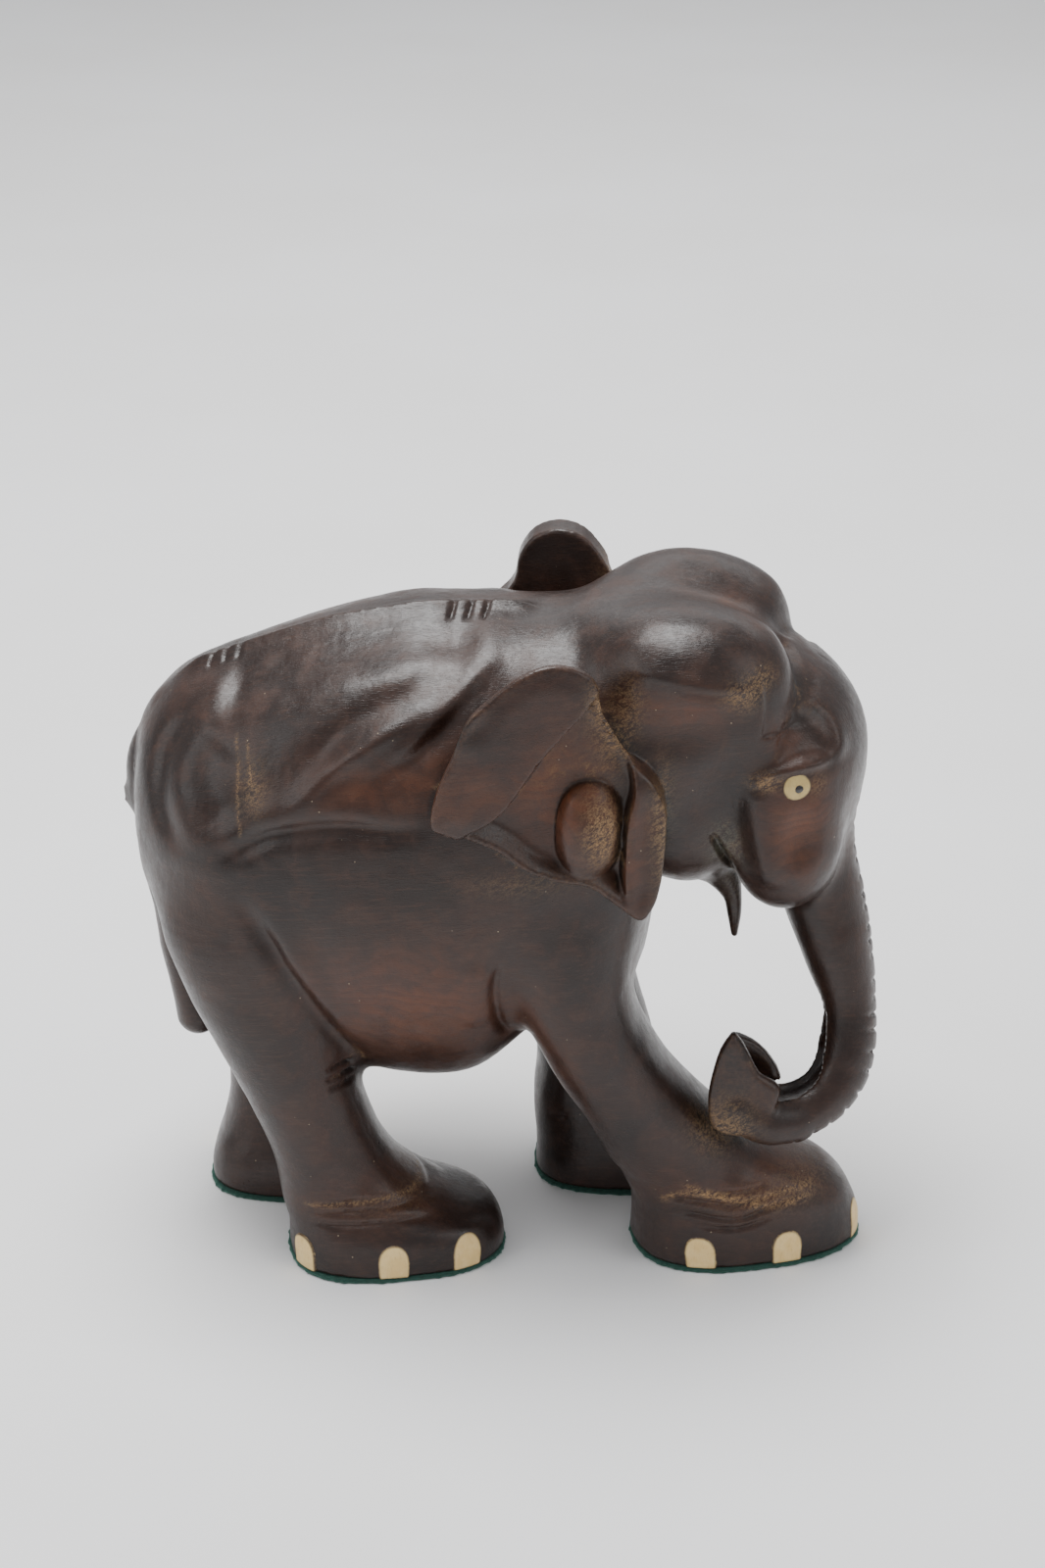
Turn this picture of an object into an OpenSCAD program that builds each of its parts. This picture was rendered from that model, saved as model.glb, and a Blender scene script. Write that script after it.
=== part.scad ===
// Carved elephant with bone eyes and toenails let into the wood, and felt under the soles.
// The trunk points along +X, the elephant's left side is +Y and the felt stands on z = 0.

/* [Carving] */
// Length of the carving from the rump to the front of the trunk, mm
carved_length = 202; // [160:1:260]
// Distance of the middle of each ear's outer face from the middle plane, mm
ear_reach = 46; // [43:0.5:52]
// Thickness of the ears at the rim, mm
ear_thickness = 6; // [4:0.5:9]
// How sharply the back rises to the ridge of the spine, as the exponent of its curve
back_roundness = 1.95; // [1.5:0.05:2.2]

/* [Eyes] */
// Diameter of each bone eye, mm
eye_diameter = 7.6; // [5:0.1:9]
// Diameter of the black pupil peg, mm
pupil_diameter = 2.4; // [1.6:0.1:3.4]
// How deep each eye is let into the head, mm
eye_depth = 5; // [3.5:0.5:8]

/* [Toenails] */
// Width of each toenail, mm
nail_width = 8.8; // [5:0.1:9]
// Height of each toenail, mm
nail_height = 9.8; // [6:0.1:10]
// How far each toenail stands out of the foot, mm
nail_proud = 0.5; // [0.2:0.1:1.5]

/* [Felt] */
// Thickness of the felt under each sole, mm
felt_thickness = 1.5; // [1:0.1:3]
// How far the felt reaches past the sole, mm
felt_overhang = 0.4; // [0:0.1:1.5]

/* [Hidden] */

wood = [0.20, 0.12, 0.09];
bone = [0.86, 0.79, 0.62];
eye_bone = [0.82, 0.73, 0.50];
black = [0.06, 0.05, 0.04];
green_felt = [0.07, 0.22, 0.16];

// The rows below are drawn at this length, heights from the soles, and scaled to carved_length.
drawn_length = 202.2;
k = carved_length / drawn_length;

// Gap left round each inlay in its pocket, and how much deeper than the inlay the pocket goes.
glue_gap = 0.08;
pocket_floor = 0.3;

// Torso sections along x: x, centre z, half width, height above, depth below, squareness.
TORSO = [
    [-98.6, 122, 4, 5, 5, 2],
    [-97, 122, 14, 18, 18, 2],
    [-94, 123, 23, 26, 28, 2],
    [-86, 124, 32, 34, 37, 2.1],
    [-75, 122, 39, 41.5, 42, 2.1],
    [-58, 117, 44, 53.5, 52, 2.1],
    [-40, 113, 46.5, 63, 65, 2.1],
    [-22, 112, 47, 67.3, 68.5, 2.1],
    [-6, 113, 46.5, 66.3, 66.5, 2.1],
    [10, 117, 44, 60.5, 56, 2.1],
    [24, 121, 41, 56, 50, 2.2],
    [33, 121, 36, 49, 46, 2.3],
    [38, 120, 28, 41, 38, 2.3],
    [41, 119, 14, 22, 20, 2.2],
    [42, 119, 4, 5, 5, 2],
];

// Leg sections up from the sole: z, x, y, half length, half width, turn, squareness.
RIGHT_REAR = [
    [0, -28.5, -25.5, 29.5, 21.2, 12, 2.6],
    [5, -28.8, -25.5, 29.3, 21, 12, 2.6],
    [10, -31, -25.5, 27.5, 20.3, 12, 2.5],
    [15, -37.5, -25.5, 22.3, 19, 11, 2.3],
    [23, -43.3, -25.5, 17.5, 17, 10, 2.2],
    [32, -47.3, -26, 15.6, 16, 5, 2.1],
    [43, -51.5, -26, 15.5, 16, 0, 2.1],
    [59, -57, -26, 17, 17, 0, 2.1],
    [79, -62, -25, 21.5, 19, 0, 2.1],
    [99, -63, -22, 25, 19, 0, 2.1],
    [117, -60, -18, 15, 12, 0, 2],
];
LEFT_REAR = [
    [0, -60.5, 10.5, 23.5, 20.2, -2, 3],
    [5, -60.5, 10.5, 23.3, 20, -2, 3],
    [10, -61, 11, 21.5, 19.3, -2, 2.8],
    [15, -62, 12, 18.8, 18.4, -2, 2.5],
    [23, -63, 14, 16.2, 17, -2, 2.3],
    [32, -63, 16, 16.3, 16, 0, 2.1],
    [43, -64.5, 18.5, 16.5, 16, 0, 2.1],
    [59, -66, 21.5, 18.2, 17, 0, 2.1],
    [79, -65.5, 23, 22, 19, 0, 2.1],
    [99, -64, 22, 25, 19, 0, 2.1],
    [117, -60, 18, 15, 12, 0, 2],
];
RIGHT_FRONT = [
    [0, 67.5, -15, 31.5, 21, 15, 2.5],
    [5, 67.4, -15, 31.4, 20.9, 15, 2.5],
    [10, 66.6, -15.2, 30.8, 20.6, 15, 2.4],
    [15, 65, -15.8, 29.8, 20, 14, 2.3],
    [20, 61.5, -16.5, 28.3, 19.3, 13, 2.2],
    [24, 57, -17.6, 25.6, 18.6, 12, 2.1],
    [28, 51.5, -18.8, 22.8, 18, 10, 2.1],
    [34, 46.5, -20.3, 20.5, 17.5, 7, 2.1],
    [42, 40.5, -21.8, 18.5, 17, 4, 2.1],
    [53, 32.5, -23.5, 16.8, 17, 0, 2.1],
    [65, 26, -25, 15.7, 17.5, 0, 2.1],
    [79, 20, -25.5, 16.2, 18, 0, 2.1],
    [99, 16, -23.5, 19, 17, 0, 2.1],
    [117, 14, -18, 12, 11, 0, 2],
];
LEFT_FRONT = [
    [0, 32.5, 18.5, 24.5, 19.6, 0, 2.8],
    [5, 32.5, 18.5, 24.3, 19.4, 0, 2.8],
    [10, 31.5, 18.8, 23.5, 19, 0, 2.6],
    [16, 29, 19.5, 21.5, 18.5, 0, 2.4],
    [24, 26.5, 20.5, 19, 17.8, 0, 2.2],
    [32, 25.2, 21.5, 17.3, 17.2, 0, 2.1],
    [43, 23.5, 22.5, 16.3, 17, 0, 2.1],
    [59, 19.5, 24.3, 15.5, 17.3, 0, 2.1],
    [79, 15.5, 25, 15.2, 18, 0, 2.1],
    [99, 13.5, 23.5, 17.5, 17, 0, 2.1],
    [117, 13, 18, 12, 11, 0, 2],
];

// Rounded limbs along a path: x, y, z, half width across, half depth.
NECK = [
    [-6, 0, 148, 22, 18],
    [10, 0, 148, 35, 29],
    [26, 0, 146, 37, 34],
    [44, 0, 144, 33, 35],
    [62, 0, 144, 26, 28],
];
TRUNK = [
    [64, 0, 148, 25, 22],
    [76, -1, 128, 19, 18],
    [82.5, -3, 112, 14.5, 11.8],
    [86, -5, 99, 12.3, 11],
    [90.2, -8, 85, 11, 9.5],
    [94, -12, 69, 9.5, 7.4],
    [93, -17, 55.5, 9, 7.8],
    [88.8, -21, 48, 8.7, 7.6],
    [82, -24.5, 44.3, 8.5, 7.3],
    [73, -28, 42.8, 8.5, 6.8],
    [66, -29.5, 46, 8.2, 8],
    [63.5, -30.5, 56, 7, 7],
    [62, -31.5, 64, 3.6, 4],
    [61.7, -32, 69, 1, 1],
];
JAW = [
    [46, 0, 113, 14, 12.5],
    [53, -1, 110, 12, 10.5],
    [58.5, -1.5, 103.5, 6.5, 5.5],
    [61.6, -2, 96, 3.4, 2.8],
    [62.6, -3, 85, 1.2, 1.2],
];
TAIL = [
    [-88, 0, 147, 5, 5],
    [-94.3, 0, 136.5, 6, 5.3],
    [-96.6, 0.5, 128, 6.5, 4.5],
    [-95.4, 1, 118, 6.3, 4],
    [-95, 2, 104, 6, 4.2],
    [-92.5, 3, 88, 5.5, 4],
    [-91.3, 4, 74, 5, 4],
    [-88.8, 5, 62, 5.5, 4.6],
    [-86, 5, 51.5, 6.5, 6],
    [-84.6, 5, 46, 5, 4.6],
];

// Outline of one ear, seen from the side: x, z.
EAR = [
    [26, 177],
    [17.5, 183],
    [6, 180.5],
    [-5, 169],
    [-12, 154.5],
    [-15, 141.5],
    [-1, 133.5],
    [12, 124.5],
    [24, 121],
    [37.5, 110.5],
    [43, 125],
    [43.3, 141],
    [37, 156],
    [28.5, 170],
];
EAR_MIDDLE = [20, 152];
// The ear's layers from its root outward: share of the outline, share of the thickness.
EAR_LAYERS = [
    [0.5, -2],
    [0.76, -0.2],
    [0.96, 0.2],
    [1, 0.5],
    [0.96, 0.85],
    [0.8, 1],
];
// The knob inside the ear's hollow: place of its middle and its three half sizes.
KNOB = [24, 135.5, 8.5, 4.5, 14];
// Each ear leans out towards the rear by this many degrees.
ear_flare = 11;

// Round masses of the head: middle, then half sizes.
RIGHT_LOBE = [[49, -18, 166], [27, 19, 21.5]];
FACE = [[72, 0, 141.5], [24, 32, 27]];
CROWN = [[50, 0, 158], [27, 30, 24]];
THROAT = [[48, 0, 128], [19, 28, 23.5]];
RIGHT_CHEEK = [[74.5, -19, 124], [15, 13.5, 20.5]];

// Eyes: place of the right one on the head, and how far it is turned to the front.
EYE = [77, -31.2, 144];
eye_turn = 12;

// Toenails of the right feet, as angles round the sole from its own front.
FRONT_NAILS = [-121, -78, -28];
REAR_NAILS = [-148, -96, -57];
nail_depth = 3;

// ---- functions ----

function between(a, b, c, d, t) =
    0.5 * (2 * b + (c - a) * t + (2 * a - 5 * b + 4 * c - d) * t * t
        + (3 * b - a - 3 * c + d) * t * t * t);

// Rows with a smooth run of more rows between each pair.
function smooth(rows, steps) =
    let (last = len(rows) - 1)
    [
        for (i = [0:last - 1])
            let (
                before = i == 0 ? 2 * rows[0] - rows[1] : rows[i - 1],
                after = i == last - 1 ? 2 * rows[last] - rows[last - 1] : rows[i + 2]
            )
            for (j = [0:steps - 1])
                between(before, rows[i], rows[i + 1], after, j / steps),
        rows[last],
    ];

// A closed curve through points.
function closed_curve(points, steps) =
    let (n = len(points))
    [
        for (i = [0:n - 1])
            for (j = [0:steps - 1])
                between(points[(i + n - 1) % n], points[i], points[(i + 1) % n],
                    points[(i + 2) % n], j / steps),
    ];

function corner(angle, n) = pow(pow(abs(cos(angle)), n) + pow(abs(sin(angle)), n), -1 / n);

// A point of a rounded oval: half sizes a and b, squareness n.
function oval(a, b, n, angle) = corner(angle, n) * [a * cos(angle), b * sin(angle)];

function turned(p, turn) = [p.x * cos(turn) - p.y * sin(turn), p.x * sin(turn) + p.y * cos(turn)];

// A leg's section at one row, as points round its outline.
function leg_section(row, sides) =
    [
        for (i = [0:sides - 1])
            let (p = turned(oval(row[3], row[4], row[6], 360 * i / sides), row[5]))
            [row[1] + p.x, row[2] + p.y, row[0]],
    ];

// A torso's upright section at one row.
function torso_section(row, sides) =
    [
        for (i = [0:sides - 1])
            let (
                angle = 360 * i / sides,
                above = sin(angle) > 0,
                roundness = above ? back_roundness : row[5],
                p = oval(row[2], above ? row[3] : row[4], roundness, angle)
            )
            [row[0], p.x, row[1] + p.y],
    ];

function direction(v) = v / norm(v);

function place(row) = [row[0], row[1], row[2]];

// An oval section across a path that runs mostly in the XZ plane.
function limb_section(rows, i, sides) =
    let (
        last = len(rows) - 1,
        along = direction(place(rows[min(i + 1, last)]) - place(rows[max(i - 1, 0)])),
        across = direction([0, 1, 0] - along.y * along),
        depth = cross(along, across)
    )
    [
        for (j = [0:sides - 1])
            let (angle = 360 * j / sides)
            place(rows[i]) + rows[i][3] * cos(angle) * across + rows[i][4] * sin(angle) * depth,
    ];

// A ring of the ear: the outline at one share of its size, carried outward.
function ear_ring(outline, layer) =
    [
        for (p = outline)
            let (q = EAR_MIDDLE + layer[0] * (p - EAR_MIDDLE))
            [q.x, -layer[1] * ear_thickness, q.y],
    ];

// Where a toenail sits on a foot: its angle round the sole in the row's own oval.
function nail_spot(foot, angle) =
    let (p = turned(oval(foot[3], foot[4], foot[6], angle), foot[5]))
    [foot[1] + p.x, foot[2] + p.y, foot[0]];

// The way a toenail faces, in degrees from +X.
function nail_facing(foot, angle) =
    let (
        n = foot[6],
        u = cos(angle) / foot[3] * pow(abs(cos(angle)), n - 2),
        v = sin(angle) / foot[4] * pow(abs(sin(angle)), n - 2)
    )
    atan2(v, u) + foot[5];

// ---- building blocks ----

// A closed skin over sections that have the same number of points.
module loft(sections) {
    n = len(sections[0]);
    last = len(sections) - 1;
    polyhedron(
        points = [for (s = sections) each s],
        faces = [
            [for (i = [0:n - 1]) i],
            for (j = [0:last - 1])
                for (i = [0:n - 1])
                    [j * n + i, (j + 1) * n + i, (j + 1) * n + (i + 1) % n, j * n + (i + 1) % n],
            [for (i = [n - 1:-1:0]) last * n + i],
        ],
        convexity = 8
    );
}

module leg(rows) {
    path = smooth(rows, 2);
    loft([for (row = path) leg_section(row, 20)]);
}

module torso() {
    path = smooth(TORSO, 2);
    loft([for (row = path) torso_section(row, 28)]);
}

module limb(rows, steps, sides) {
    path = smooth(rows, steps);
    loft([for (i = [0:len(path) - 1]) limb_section(path, i, sides)]);
}

module round_mass(mass) {
    translate(mass[0])
        scale(mass[1])
            sphere(r = 1, $fn = 24);
}

module both_sides() {
    children();
    mirror([0, 1, 0])
        children();
}

module right_ear() {
    outline = closed_curve(EAR, 2);
    lean = [EAR_MIDDLE.x, 0, 0];
    translate([0, ear_thickness - ear_reach / k, 0])
        translate(lean)
            rotate([0, 0, ear_flare])
                translate(-lean) {
                    loft([for (layer = EAR_LAYERS) ear_ring(outline, layer)]);
                    translate([KNOB[0], -ear_thickness, KNOB[1]])
                        scale([KNOB[2], KNOB[3], KNOB[4]])
                            sphere(r = 1, $fn = 20);
                }
}

// The whole carving in one mass of wood, standing on its soles.
module carved_mass() {
    torso();
    leg(RIGHT_REAR);
    leg(LEFT_REAR);
    leg(RIGHT_FRONT);
    leg(LEFT_FRONT);
    limb(NECK, 2, 20);
    limb(TRUNK, 3, 14);
    limb(JAW, 2, 12);
    limb(TAIL, 2, 10);
    round_mass(FACE);
    round_mass(CROWN);
    round_mass(THROAT);
    both_sides() {
        round_mass(RIGHT_LOBE);
        round_mass(RIGHT_CHEEK);
        right_ear();
    }
}

module at_right_eye() {
    translate([0, 0, felt_thickness] + k * EYE)
        rotate([90, 0, eye_turn])
            children();
}

module eye_disc(diameter, depth, proud) {
    translate([0, 0, -depth])
        cylinder(d = diameter, h = depth + proud, $fn = 48);
}

module at_nail(foot, angle) {
    spot = k * nail_spot(foot, angle);
    translate([spot.x, spot.y, felt_thickness])
        rotate([90, 0, nail_facing(foot, angle) + 90])
            children();
}

// A toenail: flat at the sole, round at the top, standing up the foot.
module nail_shape(grow, depth, proud) {
    straight = nail_height - nail_width / 2;
    translate([0, 0, -depth])
        linear_extrude(height = depth + proud) {
            translate([-nail_width / 2 - grow, -grow])
                square([nail_width + 2 * grow, straight + grow]);
            translate([0, straight])
                circle(d = nail_width + 2 * grow, $fn = 40);
        }
}

module toenail(foot, angle) {
    at_nail(foot, angle)
        nail_shape(0, nail_depth, nail_proud);
}

module nail_pocket(foot, angle) {
    at_nail(foot, angle)
        nail_shape(glue_gap, nail_depth + pocket_floor, 2 * nail_depth);
}

module felt_pad(rows) {
    foot = rows[0];
    outline = [
        for (i = [0:59])
            turned(
                oval(k * foot[3] + felt_overhang, k * foot[4] + felt_overhang, foot[6], 6 * i),
                foot[5]
            ),
    ];
    color(green_felt)
        translate([k * foot[1], k * foot[2], 0])
            linear_extrude(height = felt_thickness)
                polygon(outline);
}

module eye() {
    color(eye_bone)
        difference() {
            eye_disc(eye_diameter, eye_depth, nail_proud);
            eye_disc(pupil_diameter + glue_gap, eye_depth / 2 + pocket_floor, eye_depth);
        }
}

module pupil() {
    color(black)
        eye_disc(pupil_diameter, eye_depth / 2, nail_proud + glue_gap);
}

// ---- sub-parts ----

module carved_body() {
    color(wood)
        difference() {
            translate([0, 0, felt_thickness])
                resize([carved_length, 0, 0], auto = true)
                    carved_mass();
            both_sides()
                at_right_eye()
                    eye_disc(eye_diameter + glue_gap, eye_depth + pocket_floor, 2 * eye_depth);
            for (angle = FRONT_NAILS) {
                nail_pocket(RIGHT_FRONT[1], angle);
                nail_pocket(LEFT_FRONT[1], -angle);
            }
            for (angle = REAR_NAILS) {
                nail_pocket(RIGHT_REAR[1], angle);
                nail_pocket(LEFT_REAR[1], -angle);
            }
        }
}

module right_eye() {
    at_right_eye()
        eye();
}

module right_pupil() {
    at_right_eye()
        pupil();
}

module left_eye() {
    mirror([0, 1, 0])
        right_eye();
}

module left_pupil() {
    mirror([0, 1, 0])
        right_pupil();
}

module right_front_toenail(i) {
    color(bone)
        toenail(RIGHT_FRONT[1], FRONT_NAILS[i]);
}

module right_rear_toenail(i) {
    color(bone)
        toenail(RIGHT_REAR[1], REAR_NAILS[i]);
}

module left_front_toenail(i) {
    color(bone)
        toenail(LEFT_FRONT[1], -FRONT_NAILS[i]);
}

module left_rear_toenail(i) {
    color(bone)
        toenail(LEFT_REAR[1], -REAR_NAILS[i]);
}

carved_body();
right_eye();
right_pupil();
left_eye();
left_pupil();
right_front_toenail(0);  // right_front_toenail_1
right_front_toenail(1);  // right_front_toenail_2
right_front_toenail(2);  // right_front_toenail_3
right_rear_toenail(0);  // right_rear_toenail_1
right_rear_toenail(1);  // right_rear_toenail_2
right_rear_toenail(2);  // right_rear_toenail_3
left_front_toenail(0);  // left_front_toenail_1
left_front_toenail(1);  // left_front_toenail_2
left_front_toenail(2);  // left_front_toenail_3
left_rear_toenail(0);  // left_rear_toenail_1
left_rear_toenail(1);  // left_rear_toenail_2
left_rear_toenail(2);  // left_rear_toenail_3
felt_pad(RIGHT_FRONT);  // right_front_felt
felt_pad(RIGHT_REAR);  // right_rear_felt
felt_pad(LEFT_FRONT);  // left_front_felt
felt_pad(LEFT_REAR);  // left_rear_felt
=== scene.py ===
import math
from concurrent.futures import ThreadPoolExecutor

import bpy
import numpy as np
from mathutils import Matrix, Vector


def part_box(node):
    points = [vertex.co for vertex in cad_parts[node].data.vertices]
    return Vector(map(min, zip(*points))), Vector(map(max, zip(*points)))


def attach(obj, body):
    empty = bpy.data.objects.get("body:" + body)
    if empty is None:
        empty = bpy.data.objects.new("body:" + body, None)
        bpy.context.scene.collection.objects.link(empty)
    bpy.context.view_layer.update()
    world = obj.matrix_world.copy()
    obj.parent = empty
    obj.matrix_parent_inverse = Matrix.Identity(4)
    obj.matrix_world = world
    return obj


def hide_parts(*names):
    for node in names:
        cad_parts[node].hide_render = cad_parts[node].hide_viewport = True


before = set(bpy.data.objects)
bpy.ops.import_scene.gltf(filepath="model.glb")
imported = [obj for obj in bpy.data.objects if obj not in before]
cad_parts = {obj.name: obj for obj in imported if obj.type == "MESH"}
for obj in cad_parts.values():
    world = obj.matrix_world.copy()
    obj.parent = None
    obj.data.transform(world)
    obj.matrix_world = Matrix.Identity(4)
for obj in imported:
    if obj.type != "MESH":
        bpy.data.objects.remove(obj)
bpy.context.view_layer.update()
FAR = 40.0

# ---- clay: shapes as distance fields, in mm


def smooth_min(a, b, k):
    """The smaller of two fields, run together where they differ by less than k."""
    if k <= 0:
        return np.minimum(a, b)
    h = np.maximum(k - np.abs(a - b), 0.0) / k
    return np.minimum(a, b) - h * h * k * 0.25


def smooth_max(a, b, k):
    return -smooth_min(-a, -b, k)


def ramp(x, lo, hi):
    """0 below lo, 1 above hi, smooth between."""
    t = np.clip((x - lo) / (hi - lo), 0, 1)
    return t * t * (3 - 2 * t)


def spline(points, steps, closed=False):
    """Catmull-Rom through rows of numbers, every column alike."""
    p = np.asarray(points, float)
    p = np.vstack([p[-1:], p, p[:2]]) if closed else np.vstack([2 * p[0] - p[1], p, 2 * p[-1] - p[-2]])
    t = np.linspace(0, 1, steps, endpoint=False)[:, None]
    out = [
        0.5 * (2 * b + (c - a) * t + (2 * a - 5 * b + 4 * c - d) * t**2 + (3 * b - a - 3 * c + d) * t**3)
        for a, b, c, d in zip(p, p[1:], p[2:], p[3:])
    ]
    return np.vstack(out if closed else out + [p[-2:-1]])


def ellipsoid(centre, radii, pitch=0.0):
    """An egg-shaped mass. Pitch, in degrees, lifts its front end."""
    p = math.radians(pitch)
    m = np.array([[math.cos(p), 0, math.sin(p)], [0, 1, 0], [-math.sin(p), 0, math.cos(p)]])
    c, size = np.asarray(centre, float), np.asarray(radii, float)
    reach = np.sqrt(((m.T * size) ** 2).sum(1))

    def field(q):
        q = (q - c) @ m.T
        k0 = np.sqrt(((q / size) ** 2).sum(1)) + 1e-9
        k1 = np.sqrt(((q / size**2) ** 2).sum(1)) + 1e-9
        return k0 * (k0 - 1.0) / k1

    return field, c - reach, c + reach


def tube(rows, ends=1.0):
    """A limb along a path: x, y, z, half width across, half depth. Its ends are round, or flat below 1."""
    s = spline(rows, 5)
    c, w, d = s[:, :3], np.maximum(s[:, 3], 0.2), np.maximum(s[:, 4], 0.2)
    seg = c[1:] - c[:-1]
    length = np.linalg.norm(seg, axis=1)
    tangent = np.gradient(c, axis=0)
    tangent /= np.linalg.norm(tangent, axis=1)[:, None]
    u = np.array([0, 1.0, 0]) - tangent[:, 1:2] * tangent
    u /= np.linalg.norm(u, axis=1)[:, None]
    v = np.cross(tangent, u)
    reach = max(w.max(), d.max())

    def field(p):
        best = np.full(len(p), 1e9)
        at = np.zeros(len(p))
        for i in range(len(seg)):
            t = np.clip(((p - c[i]) @ seg[i]) / length[i] ** 2, 0, 1)
            q = p - c[i] - t[:, None] * seg[i]
            e = np.einsum("ij,ij->i", q, q)
            near = e < best
            best[near] = e[near]
            at[near] = i + t[near]
        i = np.minimum(at.astype(int), len(seg) - 1)
        f = at - i

        def mix(a):
            g = f if a.ndim == 1 else f[:, None]
            return a[i] * (1 - g) + a[i + 1] * g

        q = p - mix(c)
        a, b = mix(w), mix(d)
        e = np.minimum(a, b) * ends
        qu, qv, qt = (np.einsum("ij,ij->i", q, mix(m)) for m in (u, v, tangent))
        k0 = np.sqrt((qu / a) ** 2 + (qv / b) ** 2 + (qt / e) ** 2) + 1e-9
        k1 = np.sqrt((qu / a**2) ** 2 + (qv / b**2) ** 2 + (qt / e**2) ** 2) + 1e-9
        return k0 * (k0 - 1.0) / k1

    return field, c.min(0) - reach, c.max(0) + reach


def oval_distance(u, v, a, b, n):
    """Distance to an oval of half sizes a and b; a higher n makes it squarer."""
    q = (np.abs(u / a) ** n + np.abs(v / b) ** n) ** (1 / n) + 1e-6
    d = np.hypot(u, v) * (1 - 1 / q)
    return np.where(q < 0.3, -np.minimum(a, b) * 0.7, d)


def column(rows):
    """A leg as level sections: z, x, y, half length, half width, turn, squareness."""
    r = spline(rows, 6)

    def field(p):
        z = p[:, 2]
        x, y, a, b, yaw, n = [np.interp(z, r[:, 0], r[:, i]) for i in range(1, 7)]
        w = np.radians(yaw)
        u = (p[:, 0] - x) * np.cos(w) + (p[:, 1] - y) * np.sin(w)
        v = -(p[:, 0] - x) * np.sin(w) + (p[:, 1] - y) * np.cos(w)
        return smooth_max(oval_distance(u, v, a, b, n), z - r[-1, 0], 6)

    lo = np.array([(r[:, 1] - r[:, 3]).min() - 3, (r[:, 2] - r[:, 4]).min() - 6, r[0, 0] - 3])
    hi = np.array([(r[:, 1] + r[:, 3]).max() + 3, (r[:, 2] + r[:, 4]).max() + 6, r[-1, 0] + 1])
    return field, lo, hi


def barrel(rows, back_rear, back_front):
    """The torso as upright sections: x, centre z, half width, height above, depth below, squareness."""
    r = spline(rows, 6)
    tall = np.maximum(r[:, 3], r[:, 4])

    def field(p):
        x = np.clip(p[:, 0], r[0, 0], r[-1, 0])
        c, w, up, down, n = [np.interp(x, r[:, 0], r[:, i]) for i in range(1, 6)]
        z = p[:, 2] - c
        back = back_rear + (back_front - back_rear) * ramp(x, -85, -25)
        n = np.where(z > 0, back + (n - back) * np.exp(-np.maximum(z, 0) / 12), n)
        d = oval_distance(p[:, 1], z, w, np.where(z > 0, up, down), n)
        return d + np.abs(p[:, 0] - x)

    lo = np.array([r[0, 0] - 1, -r[:, 2].max() - 3, (r[:, 1] - tall).min() - 3])
    hi = np.array([r[-1, 0] + 1, r[:, 2].max() + 3, (r[:, 1] + tall).max() + 3])
    return field, lo, hi


def to_segment(u, v, start, end):
    """How far along a segment its nearest point is, 0 to 1, and the square of the distance."""
    ex, ey = end[0] - start[0], end[1] - start[1]
    wx, wy = u - start[0], v - start[1]
    t = np.clip((wx * ex + wy * ey) / (ex * ex + ey * ey), 0, 1)
    return t, (wx - ex * t) ** 2 + (wy - ey * t) ** 2


def loop_distance(u, v, loop):
    """Distance to a closed outline in a plane, negative inside."""
    best = np.full(len(u), 1e9)
    inside = np.zeros(len(u), bool)
    for (x0, y0), (x1, y1) in zip(loop, np.roll(loop, -1, 0)):
        best = np.minimum(best, to_segment(u, v, (x0, y0), (x1, y1))[1])
        inside ^= ((y0 > v) != (y1 > v)) & (u < (x1 - x0) * (v - y0) / (y1 - y0 + 1e-12) + x0)
    return np.where(inside, -np.sqrt(best), np.sqrt(best))


def path_distance(u, v, path):
    """Distance to an open line in a plane, and how far along it the nearest point is, 0 to 1."""
    best = np.full(len(u), 1e9)
    along = np.zeros(len(u))
    n = len(path) - 1
    for i in range(n):
        t, e = to_segment(u, v, path[i], path[i + 1])
        near = e < best
        best[near] = e[near]
        along[near] = (i + t[near]) / n
    return np.sqrt(best), along


class Clay:
    """Distances to a shape at a set of points, built up mass by mass."""

    def __init__(self, points):
        self.p = points
        self.d = np.full(len(points), FAR)

    def near(self, lo, hi, margin):
        return np.flatnonzero(((self.p > lo - margin) & (self.p < hi + margin)).all(1))

    def add(self, shape, blend):
        field, lo, hi = shape
        i = self.near(lo, hi, max(blend * 1.2, 8.0))
        if len(i):
            self.d[i] = smooth_min(self.d[i], field(self.p[i]), blend)

    def cut(self, shape, blend):
        field, lo, hi = shape
        i = self.near(lo, hi, blend * 1.2 + 1.0)
        if len(i):
            self.d[i] = -smooth_min(-self.d[i], field(self.p[i]), blend)

    def stroke(self, path, width, lift, taper=0.2, side=None, heights=None, power=2.0):
        """Raises (or, below zero, cuts) a line in the surface.

        It is drawn in the side view and marks one side of the figure or, with heights, from above and
        marks what lies between them. A power of 2 gives a round profile, and lower powers a sharper one.
        """
        b = 1 if heights else 2
        line = spline(path, 4)
        m = 2.6 * width
        p = self.p
        hit = (p[:, 0] > line[:, 0].min() - m) & (p[:, 0] < line[:, 0].max() + m)
        hit &= (p[:, b] > line[:, 1].min() - m) & (p[:, b] < line[:, 1].max() + m)
        hit &= np.abs(self.d) < 9
        if heights:
            hit &= (p[:, 2] > heights[0]) & (p[:, 2] < heights[1])
        else:
            hit &= p[:, 1] * side > 4
        i = np.flatnonzero(hit)
        if not len(i):
            return
        d, along = path_distance(p[i, 0], p[i, b], line)
        ends = ramp(along, 0, taper) * ramp(1 - along, 0, taper)
        self.d[i] -= lift * np.exp(-((d / width) ** power)) * ends


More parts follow.
